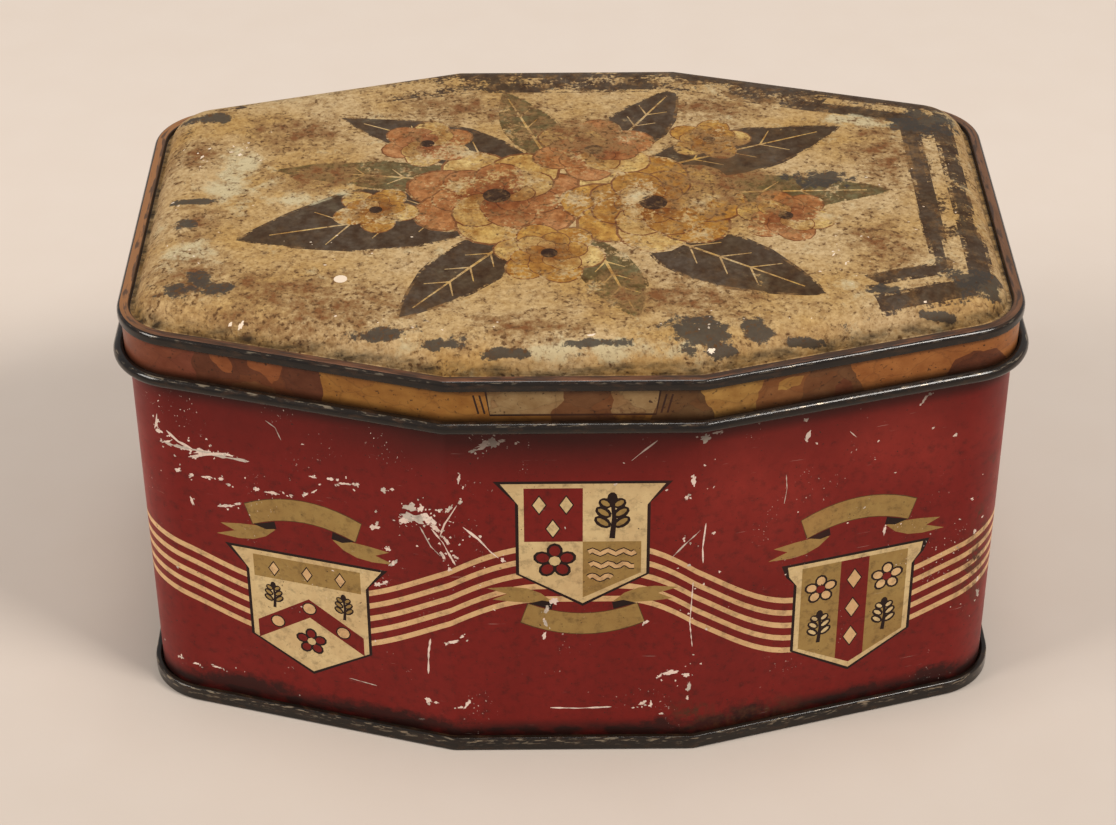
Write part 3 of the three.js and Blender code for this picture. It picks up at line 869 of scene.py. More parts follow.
# Bare tinplate: steel dipped in tin, as the inside was left. It is grey and bright, with a faint gold
# lacquer and a bloom of fine rust, sharpest where water stood.
insideFinish = {
    "grains": {
        "bloom": ((12.0, 12.0), 0.5, 0.2, 5.0, 2.0),
        "specks": ((0.9, 0.9), 0.64, 0.03, 4.0, 9.0),
        "field": ((15.0, 22.0), 0.52, 0.1, 4.0, 19.0),
        "drawn": ((30.0, 0.5), 0.5, 0.3, 4.0, 29.0),
    },
    "tin": "#c2b9a8",
    "layers": (("bloom", "#a99a80", "MIX"), ("rust", "#6d4528", "MIX")),
    "metallic": (0.85, 0.1), "roughness": (0.34, 0.75), "drawLines": (0.12, 0.00008),
}


def makeBareTinplate():
    material, add = newMaterial("bare tinplate")
    flat = sheetInputs(add)[0]
    masks = masksOf(add, flat, insideFinish)
    masks["rust"] = combined(add, "MULTIPLY", [masks["specks"], masks["field"]])
    metal, rough = (add("MapRange", {"To Min": clean, "To Max": rusty, "Value": masks["rust"]})
                    for clean, rusty in (insideFinish["metallic"], insideFinish["roughness"]))
    strength, height = insideFinish["drawLines"]
    lines = add("Bump", {"Strength": strength, "Distance": height, "Height": masks["drawn"]})
    return surfaced(material, add, {
        "Base Color": painted(add, linear(insideFinish["tin"]), insideFinish["layers"], masks),
        "Metallic": metal, "Roughness": rough, "Normal": lines,
    })


# Black japan on rolled tinplate: brushed on the seams and beads. It is near black and glossy, with
# brown rust coming through, and is rubbed to bright tin along the ridges.
beadFinish = {
    "grains": {
        "cloud": ((14.0, 1.4), 0.5, 0.2, 5.0, 4.0),
        "brown": ((3.2, 1.1), 0.63, 0.12, 6.0, 14.0),
        "streaks": ((2.4, 0.55), 0.585, 0.04, 6.0, 24.0),
    },
    "japan": "#130e0b",
    "layers": (("cloud", "#211811", "MIX"), ("brown", "#3a2719", "MIX"), ("rubbed", "#9a8b76", "MIX")),
    "ridge": (0.35, 0.9), "rubbedMetal": 0.6, "roughness": (0.06, 0.22), "specular": 0.38,
    "brush": (0.5, 2.6, 1.0), "brushed": {"Scale": 1.0, "Detail": 5.0, "Roughness": 0.7},
    "brushMarks": (0.34, 0.00006),
}


def makeBeadLacquer():
    material, add = newMaterial("black japan on tinplate")
    flat, _, _, marks = sheetInputs(add)
    masks = masksOf(add, flat, beadFinish)
    start, end = beadFinish["ridge"]
    ridge = add("MapRange", {"From Min": start, "From Max": end, "Value": marks["Y"]})
    masks["rubbed"] = combined(add, "MULTIPLY", [masks["streaks"], ridge])
    metal = combined(add, "MULTIPLY", [masks["rubbed"], beadFinish["rubbedMetal"]])
    least, most = beadFinish["roughness"]
    rough = add("MapRange", {"To Min": least, "To Max": most, "Value": masks["cloud"]})
    stretched = add("Mapping", {"Scale": beadFinish["brush"], "Vector": flat})
    brushed = add("TexNoise", {**beadFinish["brushed"], "Vector": stretched})
    strength, height = beadFinish["brushMarks"]
    pits = add("Bump", {"Strength": strength, "Distance": height, "Height": brushed})
    return surfaced(material, add, {
        "Base Color": painted(add, linear(beadFinish["japan"]), beadFinish["layers"], masks),
        "Metallic": metal, "Roughness": rough,
        "IOR": varnishIndex, "Specular IOR Level": beadFinish["specular"], "Normal": pits,
    })


# Gold lacquer on tinplate: a clear brown lacquer over bright tin round the lid's ledge. It has painted
# copper highlights at the ends, and is black with dirt in the groove and in streaks along its inner half.
ledgeFinish = {
    "grains": {"cloud": ((7.0, 0.9), 0.5, 0.14, 6.0, 7.0)},
    "stains": {"soot": ((46.0, 0.0, 38.0, 900.0),)},
    "lacquer": "#8c6048",
    # a darker cloud, painted copper highlights at the ends, then dirt
    "layers": (("cloud", "#4a362b", "MIX"), ("leftEndHighlight", "#bf8555", "MIX"), ("rightEndHighlight", "#a87a58", "MIX"),
               ("dirt", "#2a1c14", "MIX")),
    "fades": {  # mark or place that it follows, start, end, most
        # painted highlights at each end, where the copper lacquer catches the light
        "leftEndHighlight": ("X", -76.0, -92.0, 0.8), "rightEndHighlight": ("X", 76.0, 90.0, 0.4),
        "inner": ("Z", 0.5, -0.4, 0.11),
    },
    "sootPush": 0.14, "step": 0.95, "stepDirt": (0.42, 0.2), "streak": (0.2, 1.2, 1.0),
    "streaked": {"Scale": 1.0, "Detail": 5.0}, "streakCut": (0.56, 0.66, 0.85),
    "metallic": 0.75, "roughness": (0.36, 0.6),
}


def makeLedgeLacquer():
    material, add = newMaterial("gold lacquer on tinplate")
    flat, _, place, marks = sheetInputs(add)
    masks = masksOf(add, flat, ledgeFinish)
    for name, (axis, start, end, most) in ledgeFinish["fades"].items():
        source = marks["Z"] if axis == "Z" else place["X"]
        masks[name] = add("MapRange", {"From Min": start, "From Max": end, "To Max": most, "Value": source})
    fromStep = add("Math", {"operation": "ADD", 0: marks["Z"], 1: ledgeFinish["step"]})
    nearStep = add("Math", {"operation": "ABSOLUTE", 0: fromStep})
    start, end = ledgeFinish["stepDirt"]
    stepDirt = add("MapRange", {"From Min": start, "From Max": end, "Value": nearStep})
    sooty = combined(add, "MULTIPLY", [masks["soot"], ledgeFinish["sootPush"]])
    stretched = add("Mapping", {"Scale": ledgeFinish["streak"], "Vector": flat})
    streaks = add("TexNoise", {**ledgeFinish["streaked"], "Vector": stretched})
    pushed = combined(add, "ADD", [sooty, masks["inner"], streaks])
    start, end, most = ledgeFinish["streakCut"]
    spots = add("MapRange", {"From Min": start, "From Max": end, "To Max": most, "Value": pushed})
    masks["dirt"] = combined(add, "MAXIMUM", [stepDirt, spots])
    metal = add("MapRange", {"To Min": ledgeFinish["metallic"], "To Max": 0.0, "Value": masks["dirt"]})
    least, most = ledgeFinish["roughness"]
    rough = add("MapRange", {"To Min": least, "To Max": most, "Value": masks["cloud"]})
    colour = painted(add, linear(ledgeFinish["lacquer"]), ledgeFinish["layers"], masks)
    return surfaced(material, add, {"Base Color": colour, "Roughness": rough, "Metallic": metal})


# Ochre print under cracked varnish: the skirt's ink has kept its colour under plates of varnish, and has
# gone red-brown where they have come away in angular flakes.
skirtFinish = {
    "grains": {
        "cloud": ((3.0, 2.2), 0.5, 0.2, 7.0, 6.0),
        "specks": ((0.8, 0.7), 0.66, 0.05, 4.0, 26.0),
    },
    "wander": (3.0, 3.0, 0.0), "flake": (1 / 8.5, 1 / 4.6, 1.0),  # how far edges stray, and plates in a mm
    "redness": (88.0, 104.0, 0.02, 0.5), "raggedness": (0.5, -0.25), "flakeCut": (-0.05, 0.05, 0.65),
    "tone": (0.3, 0.95, 0.3), "clouded": 0.7, "crack": (0.03, 0.0, 0.25),
    "lowEdge": (79.4, 77.9, 0.8), "highEdge": (83.3, 84.4, 0.6),  # heights, most
    "plateLayers": (("tone", "#844a24", "MIX"), ("clouded", "#c2a98c", "MULTIPLY")),
    "underPlates": "#62321d",
    "underLayers": (("cloud", "#402216", "MIX"),),
    "layers": (("crack", "#3a2015", "MIX"), ("specks", "#3c2416", "MIX"), ("edges", "#2b1a12", "MIX")),
    "roughness": 0.36, "specular": 0.2, "flakeStep": (0.3, 0.00008),
    "straying": {"Scale": 0.35, "Detail": 4.0}, "ragged": {"Scale": 0.9, "Detail": 6.0, "Roughness": 0.7},
}


def makeSkirtPrint():
    material, add = newMaterial("ochre print under cracked varnish")
    flat, ink, place, _ = sheetInputs(add)
    masks = masksOf(add, flat, skirtFinish)
    # plates of varnish are cells with straying edges, each with its own chance of being lost
    noise = add("TexNoise", {**skirtFinish["straying"], "Vector": flat}).node.outputs["Color"]
    wander = skirtFinish["wander"]
    strayed = add("VectorMath", {"operation": "MULTIPLY_ADD", 0: noise, 1: wander, 2: flat})
    shrunk = add("Mapping", {"Scale": skirtFinish["flake"], "Vector": strayed})
    cells = add("TexVoronoi", {"Scale": 1.0, "Vector": shrunk}).node.outputs["Color"]
    chance = add("SeparateColor", {0: cells}).node.outputs
    fromFront = add("Math", {"operation": "ABSOLUTE", 0: place["X"]})
    edges = add("TexVoronoi", {"feature": "DISTANCE_TO_EDGE", "Scale": 1.0, "Vector": shrunk})
    start, end, least, most = skirtFinish["redness"]
    ends = {"From Min": start, "From Max": end, "To Min": least, "To Max": most}
    redness = add("MapRange", {**ends, "Value": fromFront})
    gap = add("Math", {"operation": "SUBTRACT", 0: redness, 1: chance[0]})
    ragged = add("TexNoise", {**skirtFinish["ragged"], "Vector": flat})
    share, shift = skirtFinish["raggedness"]
    raggedPart = add("Math", {"operation": "MULTIPLY_ADD", 0: ragged, 1: share, 2: shift})
    sources = {
        "flakeCut": combined(add, "ADD", [gap, raggedPart]), "tone": chance[1], "crack": edges,
        "lowEdge": place["Y"], "highEdge": place["Y"],
    }
    for name, source in sources.items():
        start, end, most = skirtFinish[name]
        masks[name] = add("MapRange", {"From Min": start, "From Max": end, "To Max": most, "Value": source})
    masks["clouded"] = combined(add, "MULTIPLY", [masks["cloud"], skirtFinish["clouded"]])
    masks["edges"] = combined(add, "MAXIMUM", [masks["lowEdge"], masks["highEdge"]])
    plates = painted(add, ink, skirtFinish["plateLayers"], masks)
    under = painted(add, linear(skirtFinish["underPlates"]), skirtFinish["underLayers"], masks)
    both = add("Mix", {"data_type": "RGBA", "Factor": masks["flakeCut"], "A": plates, "B": under})
    strength, height = skirtFinish["flakeStep"]
    step = {"Strength": strength, "Distance": height, "invert": True}
    flaked = add("Bump", {**step, "Height": masks["flakeCut"]})
    return surfaced(material, add, {
        "Base Color": painted(add, both, skirtFinish["layers"], masks),
        "Roughness": skirtFinish["roughness"],
        "IOR": varnishIndex, "Specular IOR Level": skirtFinish["specular"], "Normal": flaked,
    })


# Picture of the lid: a spray of garden flowers inside a dark border, in the lid's plan
picture = {
    "borderLines": (  # inner and outer edge, and how badly the ink has held at the end and at the back
        (-16.2, -4.2, 0.21, 0.13), (-15.9, -15.0, 0.12, 0.16), (-13.0, -12.0, 0.12, 0.12),
        (-9.4, -8.4, 0.12, 0.08), (-5.8, -5.1, 0.1, 0.08), (-15.0, -13.0, 0.045, 0.1),
        (-8.4, -5.8, 0.05, 0.05),
    ),
    "borderStep": 6.0, "borderLeast": 0.42,
    "holdEnd": (55, 0.66), "holdBack": (20, 0.65), "fadeLeft": (-12, 36, 0.16),  # from where, how well
    "seed": 5, "chipSeed": 23, "dot": (-42.3, -31.2, 1.25), "speckLength": (0.25, 0.7),
    "slimness": (0.4, 0.9), "slants": (0, 180), "bare": (0.4, 1.0),
}
flower = {
    "leafFullness": (  # share of the way from foot to tip, share of the full width
        (0.0, 0.06), (0.12, 0.5), (0.28, 0.88), (0.45, 1.0), (0.62, 0.88), (0.8, 0.56), (0.93, 0.24),
        (1.0, 0.0),
    ),
    "leafSkew": 0.86, "leafHold": {"charcoal": 0.66, "greyGreen": 0.575},
    "crumbs": ((0.9, 0.14), (0.3, 0.08)),  # how far each rim reaches out, and what its ink has lost
    "rib": (0.1, 0.5, 0.9), "ribWidths": (0.7, 0.5, 0.3),
    "veins": (0.3, 0.46, 0.62), "veinTurn": 0.8, "veinReach": 0.34, "veinWidths": (0.4, 0.2),
    "petalRings": (1.0, 0.7, 0.42), "ringTurn": 0.45, "petalPlace": 0.58, "petalSize": (0.46, 0.4),
    "petalEdge": 1.08, "heart": 0.16,
    "ribHeld": 0.5, "veinHeld": 0.48, "petalHeld": (0.53, 0.55), "heartHeld": 0.56,  # how well the ink holds
}
lidChipSpots = [  # along, up, length, width, slant in degrees
    (-59.8, -42.6, 1.6, 0.9, 40), (-61.6, -42, 0.9, 0.6, 10), (-48.6, -18.4, 0.5, 0.4, 0),
    (-45.4, -26.4, 1, 0.5, 20), (-65, 15.6, 1.2, 0.8, 70), (-66.8, 16.8, 0.9, 0.5, 10),
    (-72.4, 15, 1.4, 0.7, 60), (-71.2, 18.4, 0.8, 0.5, 30), (24.6, -52.6, 1.6, 0.9, 20),
    (48.8, -24, 1.4, 0.4, 60), (50.8, -27, 1.2, 0.4, 80), (54.6, -17.6, 0.8, 0.4, 30),
    (-76.4, -1.8, 0.9, 0.5, 0), (-75, -3.6, 0.7, 0.4, 40), (57.8, 4.6, 0.8, 0.4, 10),
    (3.4, -49.8, 1.8, 0.6, 5),
]
lidSpeckFields = [  # middle, spread, how many
    ((-68, 14), (5, 5), 14), ((-70, -16), (4, 6), 10), ((-30, -46), (14, 2), 10), ((26, -45), (12, 3), 12),
    ((52, -24), (6, 8), 14), ((70, -6), (4, 16), 12), ((-45, -18), (10, 8), 7),
]
leaves = [  # ink, foot, tip, width
    ("charcoal", (-8, -4), (-62, -17), 25), ("charcoal", (-6, 8), (-45, 30), 15),
    ("charcoal", (12, 6), (54, 25), 18), ("charcoal", (6, 12), (22, 42), 13),
    ("charcoal", (-8, -14), (-31, -44), 14), ("charcoal", (12, -14), (46, -37), 18),
    ("greyGreen", (16, -2), (62, 0), 15), ("greyGreen", (4, -18), (12, -45), 12),
    ("greyGreen", (-10, 2), (-58, 9), 12), ("greyGreen", (-4, 12), (-13, 41), 12),
]
blooms = [  # petal ink, middle, radius, petals
    ("salmon", (-14, -2), 17, 7), ("ochre", (16, -5), 17, 8), ("salmon", (5, 16), 12, 6),
    ("ochre", (-4, -23), 10, 6), ("ochre", (-37, -7), 8, 5), ("salmon", (41, -10), 9, 6),
    ("ochre", (28, 20), 8, 5), ("salmon", (-28, 19), 9, 6),
]


# Worn picture print on tinplate: a cream ground with a printed picture, rubbed along the lid's length for
# years. The ink is thin and streaked, peppered with rust, and stained black and brown in patches.
lidFinish = {
    "grains": {
        "strokes": ((2.6, 3.4), 0.5, 0.16, 6.0, 97.0),
        "stipple": ((0.9, 0.9), 0.5, 0.2, 6.0, 91.0),
        "yellow": ((22.0, 20.0), 0.52, 0.12, 4.0, 33.0),
        "pepper": ((0.9, 0.9), 0.59, 0.06, 4.0, 63.0),
        "fineDots": ((0.4, 0.4), 0.65, 0.04, 2.0, 69.0),
        "footGrain": ((5.0, 2.0), 0.54, 0.12, 6.0, 73.0),
    },
    "stains": {  # along, across and reach of each
        "hearts": [(*middle, radius * 0.8, radius * 0.8) for _, middle, radius, _ in blooms],
        "pale": ((-65, 6, 9, 17), (-72, -22, 8, 9), (8, -53, 26, 4), (-50, -3, 14, 7), (58, 28, 14, 5)),
        "brown": ((-54, 24, 15, 11), (-72, 17, 5, 5), (30, 34, 16, 8), (62, 14, 10, 18), (-70, -10, 7, 9),
                  (-70, -30, 12, 12), (-54, -34, 22, 9), (-46, -40, 28, 11), (-8, -47, 15, 6),
                  (20, -38, 26, 10), (-74, 16, 9, 8), (2, 22, 16, 12), (58, -20, 9, 14), (30, 6, 14, 24),
                  (-22, 34, 22, 9), (-48, 6, 16, 8)),
        "black": ((-68, -30.5, 4, 5), (-72, -34, 6, 3.4), (-63.5, -34, 4.4, 3.2), (-34, -48, 9, 2.4),
                  (-23, -51.6, 6, 2.4), (22, -48.5, 9, 7), (33, -47.5, 5, 4), (49, 3.5, 13, 6),
                  (71, 27, 11, 8), (74, -33, 9, 6), (-73, 31, 8, 3), (-72, -2.5, 7, 1.8),
                  (4, -51.6, 10, 1.4), (57, -36, 5, 2.6), (-73, -11, 3, 3), (27, -53, 6, 2.4),
                  (43, -49.4, 7, 1.6), (-12, -53.6, 8, 1.6), (66, -41.6, 6, 1.6)),
    },
    "noises": {  # scale, detail, roughness
        "broad": (1 / 9, 3.0, 0.5), "fine": (1 / 0.9, 4.0, 0.65),
        "pale": (0.11, 9.0, 0.7), "brown": (0.28, 9.0, 0.75), "black": (0.25, 9.0, 0.74),
    },
    "pushes": {"pale": 0.2, "brown": 0.17, "black": 0.28},  # how far a stain lifts its noise
    "nearEdge": (-24.0, -8.0, -0.03, 0.03),
    "cuts": {  # what it follows, start, end, most
        "greyed": ("pale", 0.58, 0.7, 0.7), "mottled": ("brown", 0.52, 0.65, 0.85),
        "rust": ("brown", 0.65, 0.74, 0.9), "thick": ("brown", 0.44, 0.56, 1.0),
        "blackened": ("black", 0.64, 0.69, 0.92),
        "shoulder": ("edge", -6.5, -3.4, 0.25), "foot": ("edge", -3.0, -2.2, 0.9),
    },
    "fineShare": 0.42, "lossEdge": 0.025, "heartShade": 0.7, "fineDots": 0.5, "spared": (0.64, 0.58, 0.16),
    "layers": (
        ("lost", "#bfa57c", "MIX"), ("hearts", "#a8744e", "MULTIPLY"), ("strokes", "#c9ac8c", "MULTIPLY"),
        ("stipple", "#cabda9", "MULTIPLY"), ("yellow", "#efe0bc", "MULTIPLY"), ("greyed", "#b8ad8c", "MIX"),
        ("mottled", "#80603a", "MIX"), ("rust", "#6c4120", "MIX"), ("blackened", "#38322c", "MIX"),
        ("dots", "#563b22", "MIX"), ("shoulder", "#dcbc8c", "MULTIPLY"), ("dirt", "#2e241b", "MIX"),
        ("chips", "#dcc8b2", "MIX"),
    ),
    "roughness": (0.52, 0.8), "specular": 0.14, "bareMetal": 0.1, "dotPits": (0.4, 0.00006),
}


def makeLidPrint():
    material, add = newMaterial("worn picture print on tinplate")
    flat, ink, _, marks = sheetInputs(add)
    masks = masksOf(add, flat, lidFinish)
    masks["chips"] = marks["X"]
    noises = {}
    for name, (scale, detail, roughness) in lidFinish["noises"].items():
        look = {"Scale": scale, "Detail": detail, "Roughness": roughness}
        noises[name] = add("TexNoise", {**look, "Vector": flat})
    # the picture's ink holds or is lost in ragged patches, and is unevenly laid and darker at the hearts
    share = {"data_type": "FLOAT", "Factor": lidFinish["fineShare"]}
    blended = add("Mix", {**share, "A": noises["broad"], "B": noises["fine"]})
    strength = add("Math", {"operation": "SUBTRACT", 0: blended, 1: marks["Y"]})
    soft = lidFinish["lossEdge"]
    masks["lost"] = add("MapRange", {"From Min": -soft, "From Max": soft, "Value": strength})
    kept = add("Math", {"operation": "SUBTRACT", 0: 1.0, 1: masks["lost"]})
    masks["hearts"] = combined(add, "MULTIPLY", [masks["hearts"], kept, lidFinish["heartShade"]])
    masks["strokes"] = combined(add, "MULTIPLY", [masks["strokes"], kept])
    # noises lifted by their stains, the black one near the lid's edge too, and cut at several levels
    sources = {"edge": marks["Z"]}
    for name, push in lidFinish["pushes"].items():
        sources[name] = add("Math", {"operation": "MULTIPLY_ADD", 0: masks[name], 1: push, 2: noises[name]})
    start, end, least, most = lidFinish["nearEdge"]
    spread = {"From Min": start, "From Max": end, "To Min": least, "To Max": most}
    nearEdge = add("MapRange", {**spread, "Value": marks["Z"]})
    sources["black"] = combined(add, "ADD", [sources["black"], nearEdge])
    for name, (source, start, end, most) in lidFinish["cuts"].items():
        cut = {"From Min": start, "From Max": end, "To Max": most}
        masks[name] = add("MapRange", {**cut, "Value": sources[source]})
    # wear spares the patches whose ink has held best
    start, end, least = lidFinish["spared"]
    weak = add("MapRange", {"From Min": start, "From Max": end, "To Min": least, "Value": marks["Y"]})
    peppered = combined(add, "MULTIPLY", [masks["pepper"], masks["thick"]])
    fineDots = combined(add, "MULTIPLY", [masks["fineDots"], lidFinish["fineDots"]])
    masks["dots"] = combined(add, "MAXIMUM", [peppered, fineDots])
    for name in ("greyed", "mottled", "rust", "dots"):
        masks[name] = combined(add, "MULTIPLY", [masks[name], weak])
    masks["dirt"] = combined(add, "MULTIPLY", [masks["foot"], masks["footGrain"]])
    metal = combined(add, "MULTIPLY", [marks["X"], lidFinish["bareMetal"]])
    least, most = lidFinish["roughness"]
    rough = add("MapRange", {"To Min": least, "To Max": most, "Value": masks["dots"]})
    strength, height = lidFinish["dotPits"]
    pits = add("Bump", {"Strength": strength, "Distance": height, "invert": True, "Height": masks["dots"]})
    return surfaced(material, add, {
        "Base Color": painted(add, ink, lidFinish["layers"], masks), "Metallic": metal, "Roughness": rough,
        "IOR": varnishIndex, "Specular IOR Level": lidFinish["specular"], "Normal": pits,
    })


wallMaterial = makeWallPrint()
insideMaterial = makeBareTinplate()
beadMaterial = makeBeadLacquer()
ledgeMaterial = makeLedgeLacquer()
skirtMaterial = makeSkirtPrint()
lidMaterial = makeLidPrint()
print("materials ready")


def makeWall():
    wallMiddle = -halfSheet
    curlRadius = wall["curlDiameter"] / 2 - halfSheet
    curlHeight = wall["mouthHeight"] - wall["curlDiameter"] / 2
    flangeHeight = halfSheet + foldPitch
    hookMiddle = wallMiddle + 2 * foldPitch
    foot = bentLine([
        (hookMiddle, flangeHeight + wall["hookLap"]), (hookMiddle, flangeHeight),
        (wallMiddle, flangeHeight), (wallMiddle, curlHeight),
    ])[:-1]
    mouth = curledEdge((wallMiddle - curlRadius, curlHeight), curlRadius, 0.0)
    outer, inner = sheetFaces(foot + mouth)
    draft = []

    def isPrinted(here, after):
        return max(abs(here.x), abs(after.x)) < nearly and abs(here.y - after.y) > curlHeight / 2

    def finishOf(middle, band):
        return 1
    ridges = [(wallMiddle - curlRadius, wall["mouthHeight"], wall["ridgeReach"])]
    carryRound(draft, outer + inner[::-1], finishOf, "tin", ridges, isPrinted)
    printBand(draft, 0.0, foot[-1].y, curlHeight, "red", wallPrint())
    makePiece("printed_wall", draft, [wallMaterial, insideMaterial], "tin_body", "body_wall")


# Base: the stamped bottom, whose edge is rolled round the wall's hook
base = {
    "countersink": 2.9, "stepInset": 9, "stepRise": 0.8, "stepRun": 1.6, "flatInset": 27,
    "blackFrom": -0.1, "ridgeDrop": 0.4, "ridgeReach": 0.8,
}


def makeBase():
    chuckWall = -halfSheet - foldPitch
    coverHook = -halfSheet + foldPitch
    seamWall = coverHook + 2 * foldPitch
    panel = base["countersink"] + halfSheet
    raised = panel + base["stepRise"]
    turn = wall["seamHeight"] - halfSheet
    stepBend = base["stepRise"] / 2
    under, upper = sheetFaces(bentLine([
        (-base["flatInset"], raised), (-base["stepInset"] - base["stepRun"], raised, stepBend),
        (-base["stepInset"], panel, stepBend), (chuckWall, panel), (chuckWall, halfSheet),
        (seamWall, halfSheet), (seamWall, turn), (coverHook, turn), (coverHook, turn - wall["hookLap"]),
    ]))
    draft = []

    def finishOf(middle, band):
        return 0 if middle.x > base["blackFrom"] else 1
    ridges = [(seamWall + halfSheet, wall["seamHeight"] - base["ridgeDrop"], base["ridgeReach"])]
    carryRound(draft, under + upper[::-1], finishOf, "tin", ridges, isPanel=True)
    closeMiddle(draft, under[0], -1, 1)
    closeMiddle(draft, upper[0], 1, 1)
    materials = [beadMaterial, insideMaterial]
    makePiece("seamed_base", draft, materials, "tin_body", "base_panel")


# Lid: its skirt, and the pressed panel whose rim is rolled over the skirt's flange
lid = {
    "rimHeight": 10.7, "beadDiameter": 2.4, "flangeReach": 0.16,
    "lapWidth": 5, "lapFoot": 1.5, "lapGap": 0.2,
    "rimFold": 2.1, "rimBend": 0.78, "ledgeWidth": 1.2, "grooveDepth": 0.9, "grooveWidth": 1.3,
    "shoulderWidth": 7.4, "domeRise": 5.5, "crownRise": 0.7, "shoulderSteps": 14, "printFoot": 3,
    "crownInsets": (52, 44, 36, 29, 22, 16, 12), "slopeStep": 0.35, "grooveFinish": 0.55,
    "rimRidge": (0.1, 0.3, 0.45), "beadRidge": (1.7, 0.95, 0.55), "beadFrom": (0.05, 0.3),
}
skirtInner = tinplate["slip"]
skirtMiddle = skirtInner + halfSheet
skirtOuter = skirtInner + tinplate["sheet"]
grooveHeight = wall["mouthHeight"] + tinplate["seat"] + halfSheet
ledgeHeight = grooveHeight + lid["grooveDepth"]
rimTop = ledgeHeight + halfSheet
lidBottom = rimTop - lid["rimHeight"]
rimMiddle = skirtOuter + lid["flangeReach"] + tinplate["foldGap"] + halfSheet
rimFoldBottom = rimTop - lid["rimFold"] + halfSheet


skirtFlakes = [  # ink left where a plate of varnish has come away, and the outline of the place
    ("flakeRed", [(-96, 76.5), (-69.4, 76.5), (-69, 85), (-96, 85)]),
    ("flakeDeep", [(-70.4, 76.5), (-46.2, 76.5), (-45.4, 79.8), (-46.2, 85), (-69.6, 85), (-71, 81.4),
                   (-70.2, 79.6)]),
    ("flakeOrange", [(-68.1, 85), (-66.6, 82.4), (-64.6, 80.4), (-63, 80.6), (-62.9, 82), (-64.2, 85)]),
    ("flakeOrange", [(-60.2, 85), (-59.6, 82.2), (-57.4, 81.8), (-55.4, 79.6), (-53.8, 81), (-53, 85)]),
    ("flakeBrown", [(-63.4, 76.5), (-63, 78.4), (-58.8, 79.4), (-55.2, 78.6), (-54.4, 76.5)]),
    ("flakeBrown", [(-3.5, 76.5), (-4, 79.5), (-1.5, 82), (-2, 85), (6.5, 85), (7.2, 82), (6.6, 79.6),
                    (9, 76.5)]),
    ("flakeGrey", [(13.4, 76.5), (26, 76.5), (26, 85), (15.8, 85), (14.6, 80.4)]),
    ("flakeTan", [(32, 76.5), (55, 76.5), (55, 85), (32, 85)]),
    ("flakeBrown", [(41.6, 76.5), (42.2, 82.6), (44.4, 85), (52, 85), (54, 76.5)]),
    ("flakeOchre", [(25, 76.5), (33, 76.5), (33, 79.4), (33.4, 81.4), (35, 85), (22.2, 85), (23.6, 81.2),
                    (25.1, 78.4)]),
    ("flakeOchre", [(37, 81.2), (38.6, 80.8), (41.4, 81.6), (41.9, 83.2), (39.8, 83.6), (37.2, 82.8)]),
    ("flakeDeep", [(47.8, 76.5), (48.2, 79.6), (49.6, 81.2), (51.2, 80.2), (52.2, 76.5)]),
    ("flakeAmber", [(54.4, 76.5), (96, 76.5), (96, 85), (50.4, 85), (51.2, 82.8), (53, 79.4)]),
    ("flakeDeep", [(69.4, 76.5), (71.4, 80.6), (75, 81.8), (80, 81.2), (82.6, 78), (83, 76.5)]),
]
flakeEdge = {"seed": 31, "step": 0.7, "reach": 0.16}
plaque = {
    "frame": [(-15.6, 84.8), (-14.8, 78.9), (14.8, 78.9), (15.6, 84.8)], "line": 0.4,
    "endLines": (15.9, 17.0), "endFoot": (-0.2, 79.2), "endTop": (0.7, 83.2), "endLine": 0.35,
}


def raggedOutline(corners, dice):  # each side broken into short steps that stray a little
    reach = flakeEdge["reach"]
    line = []
    for here, after in zip(corners, corners[1:] + corners[:1]):
        count = max(1, int(math.dist(here, after) / flakeEdge["step"]))
        for part in range(count):
            spot = Vector(here).lerp(Vector(after), part / count)
            line.append((spot.x + dice.uniform(-reach, reach), spot.y + dice.uniform(-reach, reach)))
    return line


def skirtShapes():  # flaked varnish, and a plain plaque with slanted double ends
    dice = random.Random(flakeEdge["seed"])
    found = [shapeOf("skirtPale", plaque["frame"])]
    for ink, corners in skirtFlakes:
        found.append(shapeOf(ink, raggedOutline(corners, dice)))
    found.append(shapeOf("rust", ribbonOutline(plaque["frame"], [plaque["line"]] * 4)))
    for side in (-1, 1):
        for place in plaque["endLines"]:
            end = [(side * (place + x), y) for x, y in (plaque["endTop"], plaque["endFoot"])]
            found.append(shapeOf("rust", ribbonOutline(end, [plaque["endLine"]] * 2)))
    return found


def makeSkirt():
    curlRadius = lid["beadDiameter"] / 2 - halfSheet
    curlHeight = lidBottom + lid["beadDiameter"] / 2
    flange = ledgeHeight - tinplate["sheet"] - 2 * tinplate["foldGap"]
    band = bentLine([
        (skirtOuter + lid["flangeReach"], flange),
        (skirtMiddle, flange, halfSheet + tinplate["foldGap"] / 2),
        (skirtMiddle, curlHeight),
    ])[:-1]
    bead = curledEdge((skirtMiddle + curlRadius, curlHeight), curlRadius, math.pi)
    inner, outer = sheetFaces(band + bead)
    draft = []

    def isPrinted(here, after):
        near = max(abs(here.x - skirtOuter), abs(after.x - skirtOuter)) < nearly
        return near and abs(here.y - after.y) > lid["beadDiameter"]

    def finishOf(middle, band):
        out, up = lid["beadFrom"]
        return 1 if middle.y < curlHeight + curlRadius + up and middle.x > skirtMiddle + out else 2
    out, up, reach = lid["beadRidge"]
    ridges = [(skirtMiddle + curlRadius * out, curlHeight + up, reach)]
    carryRound(draft, inner + outer[::-1], finishOf, "skirt", ridges, isPrinted)
    printBand(draft, skirtOuter, curlHeight, band[-1].y, "skirt", skirtShapes())
    materials = [skirtMaterial, beadMaterial, insideMaterial]
    makePiece("banded_skirt", draft, materials, "lid", "lid_skirt")


def planSides():  # a point of each side of the wall's plan, and its outward normal
    corners = [Vector(corner[:2]) for corner in planCorners()]
    return [(here, rightOf((after - here).normalized()))
            for here, after in zip(corners, corners[1:] + corners[:1])]


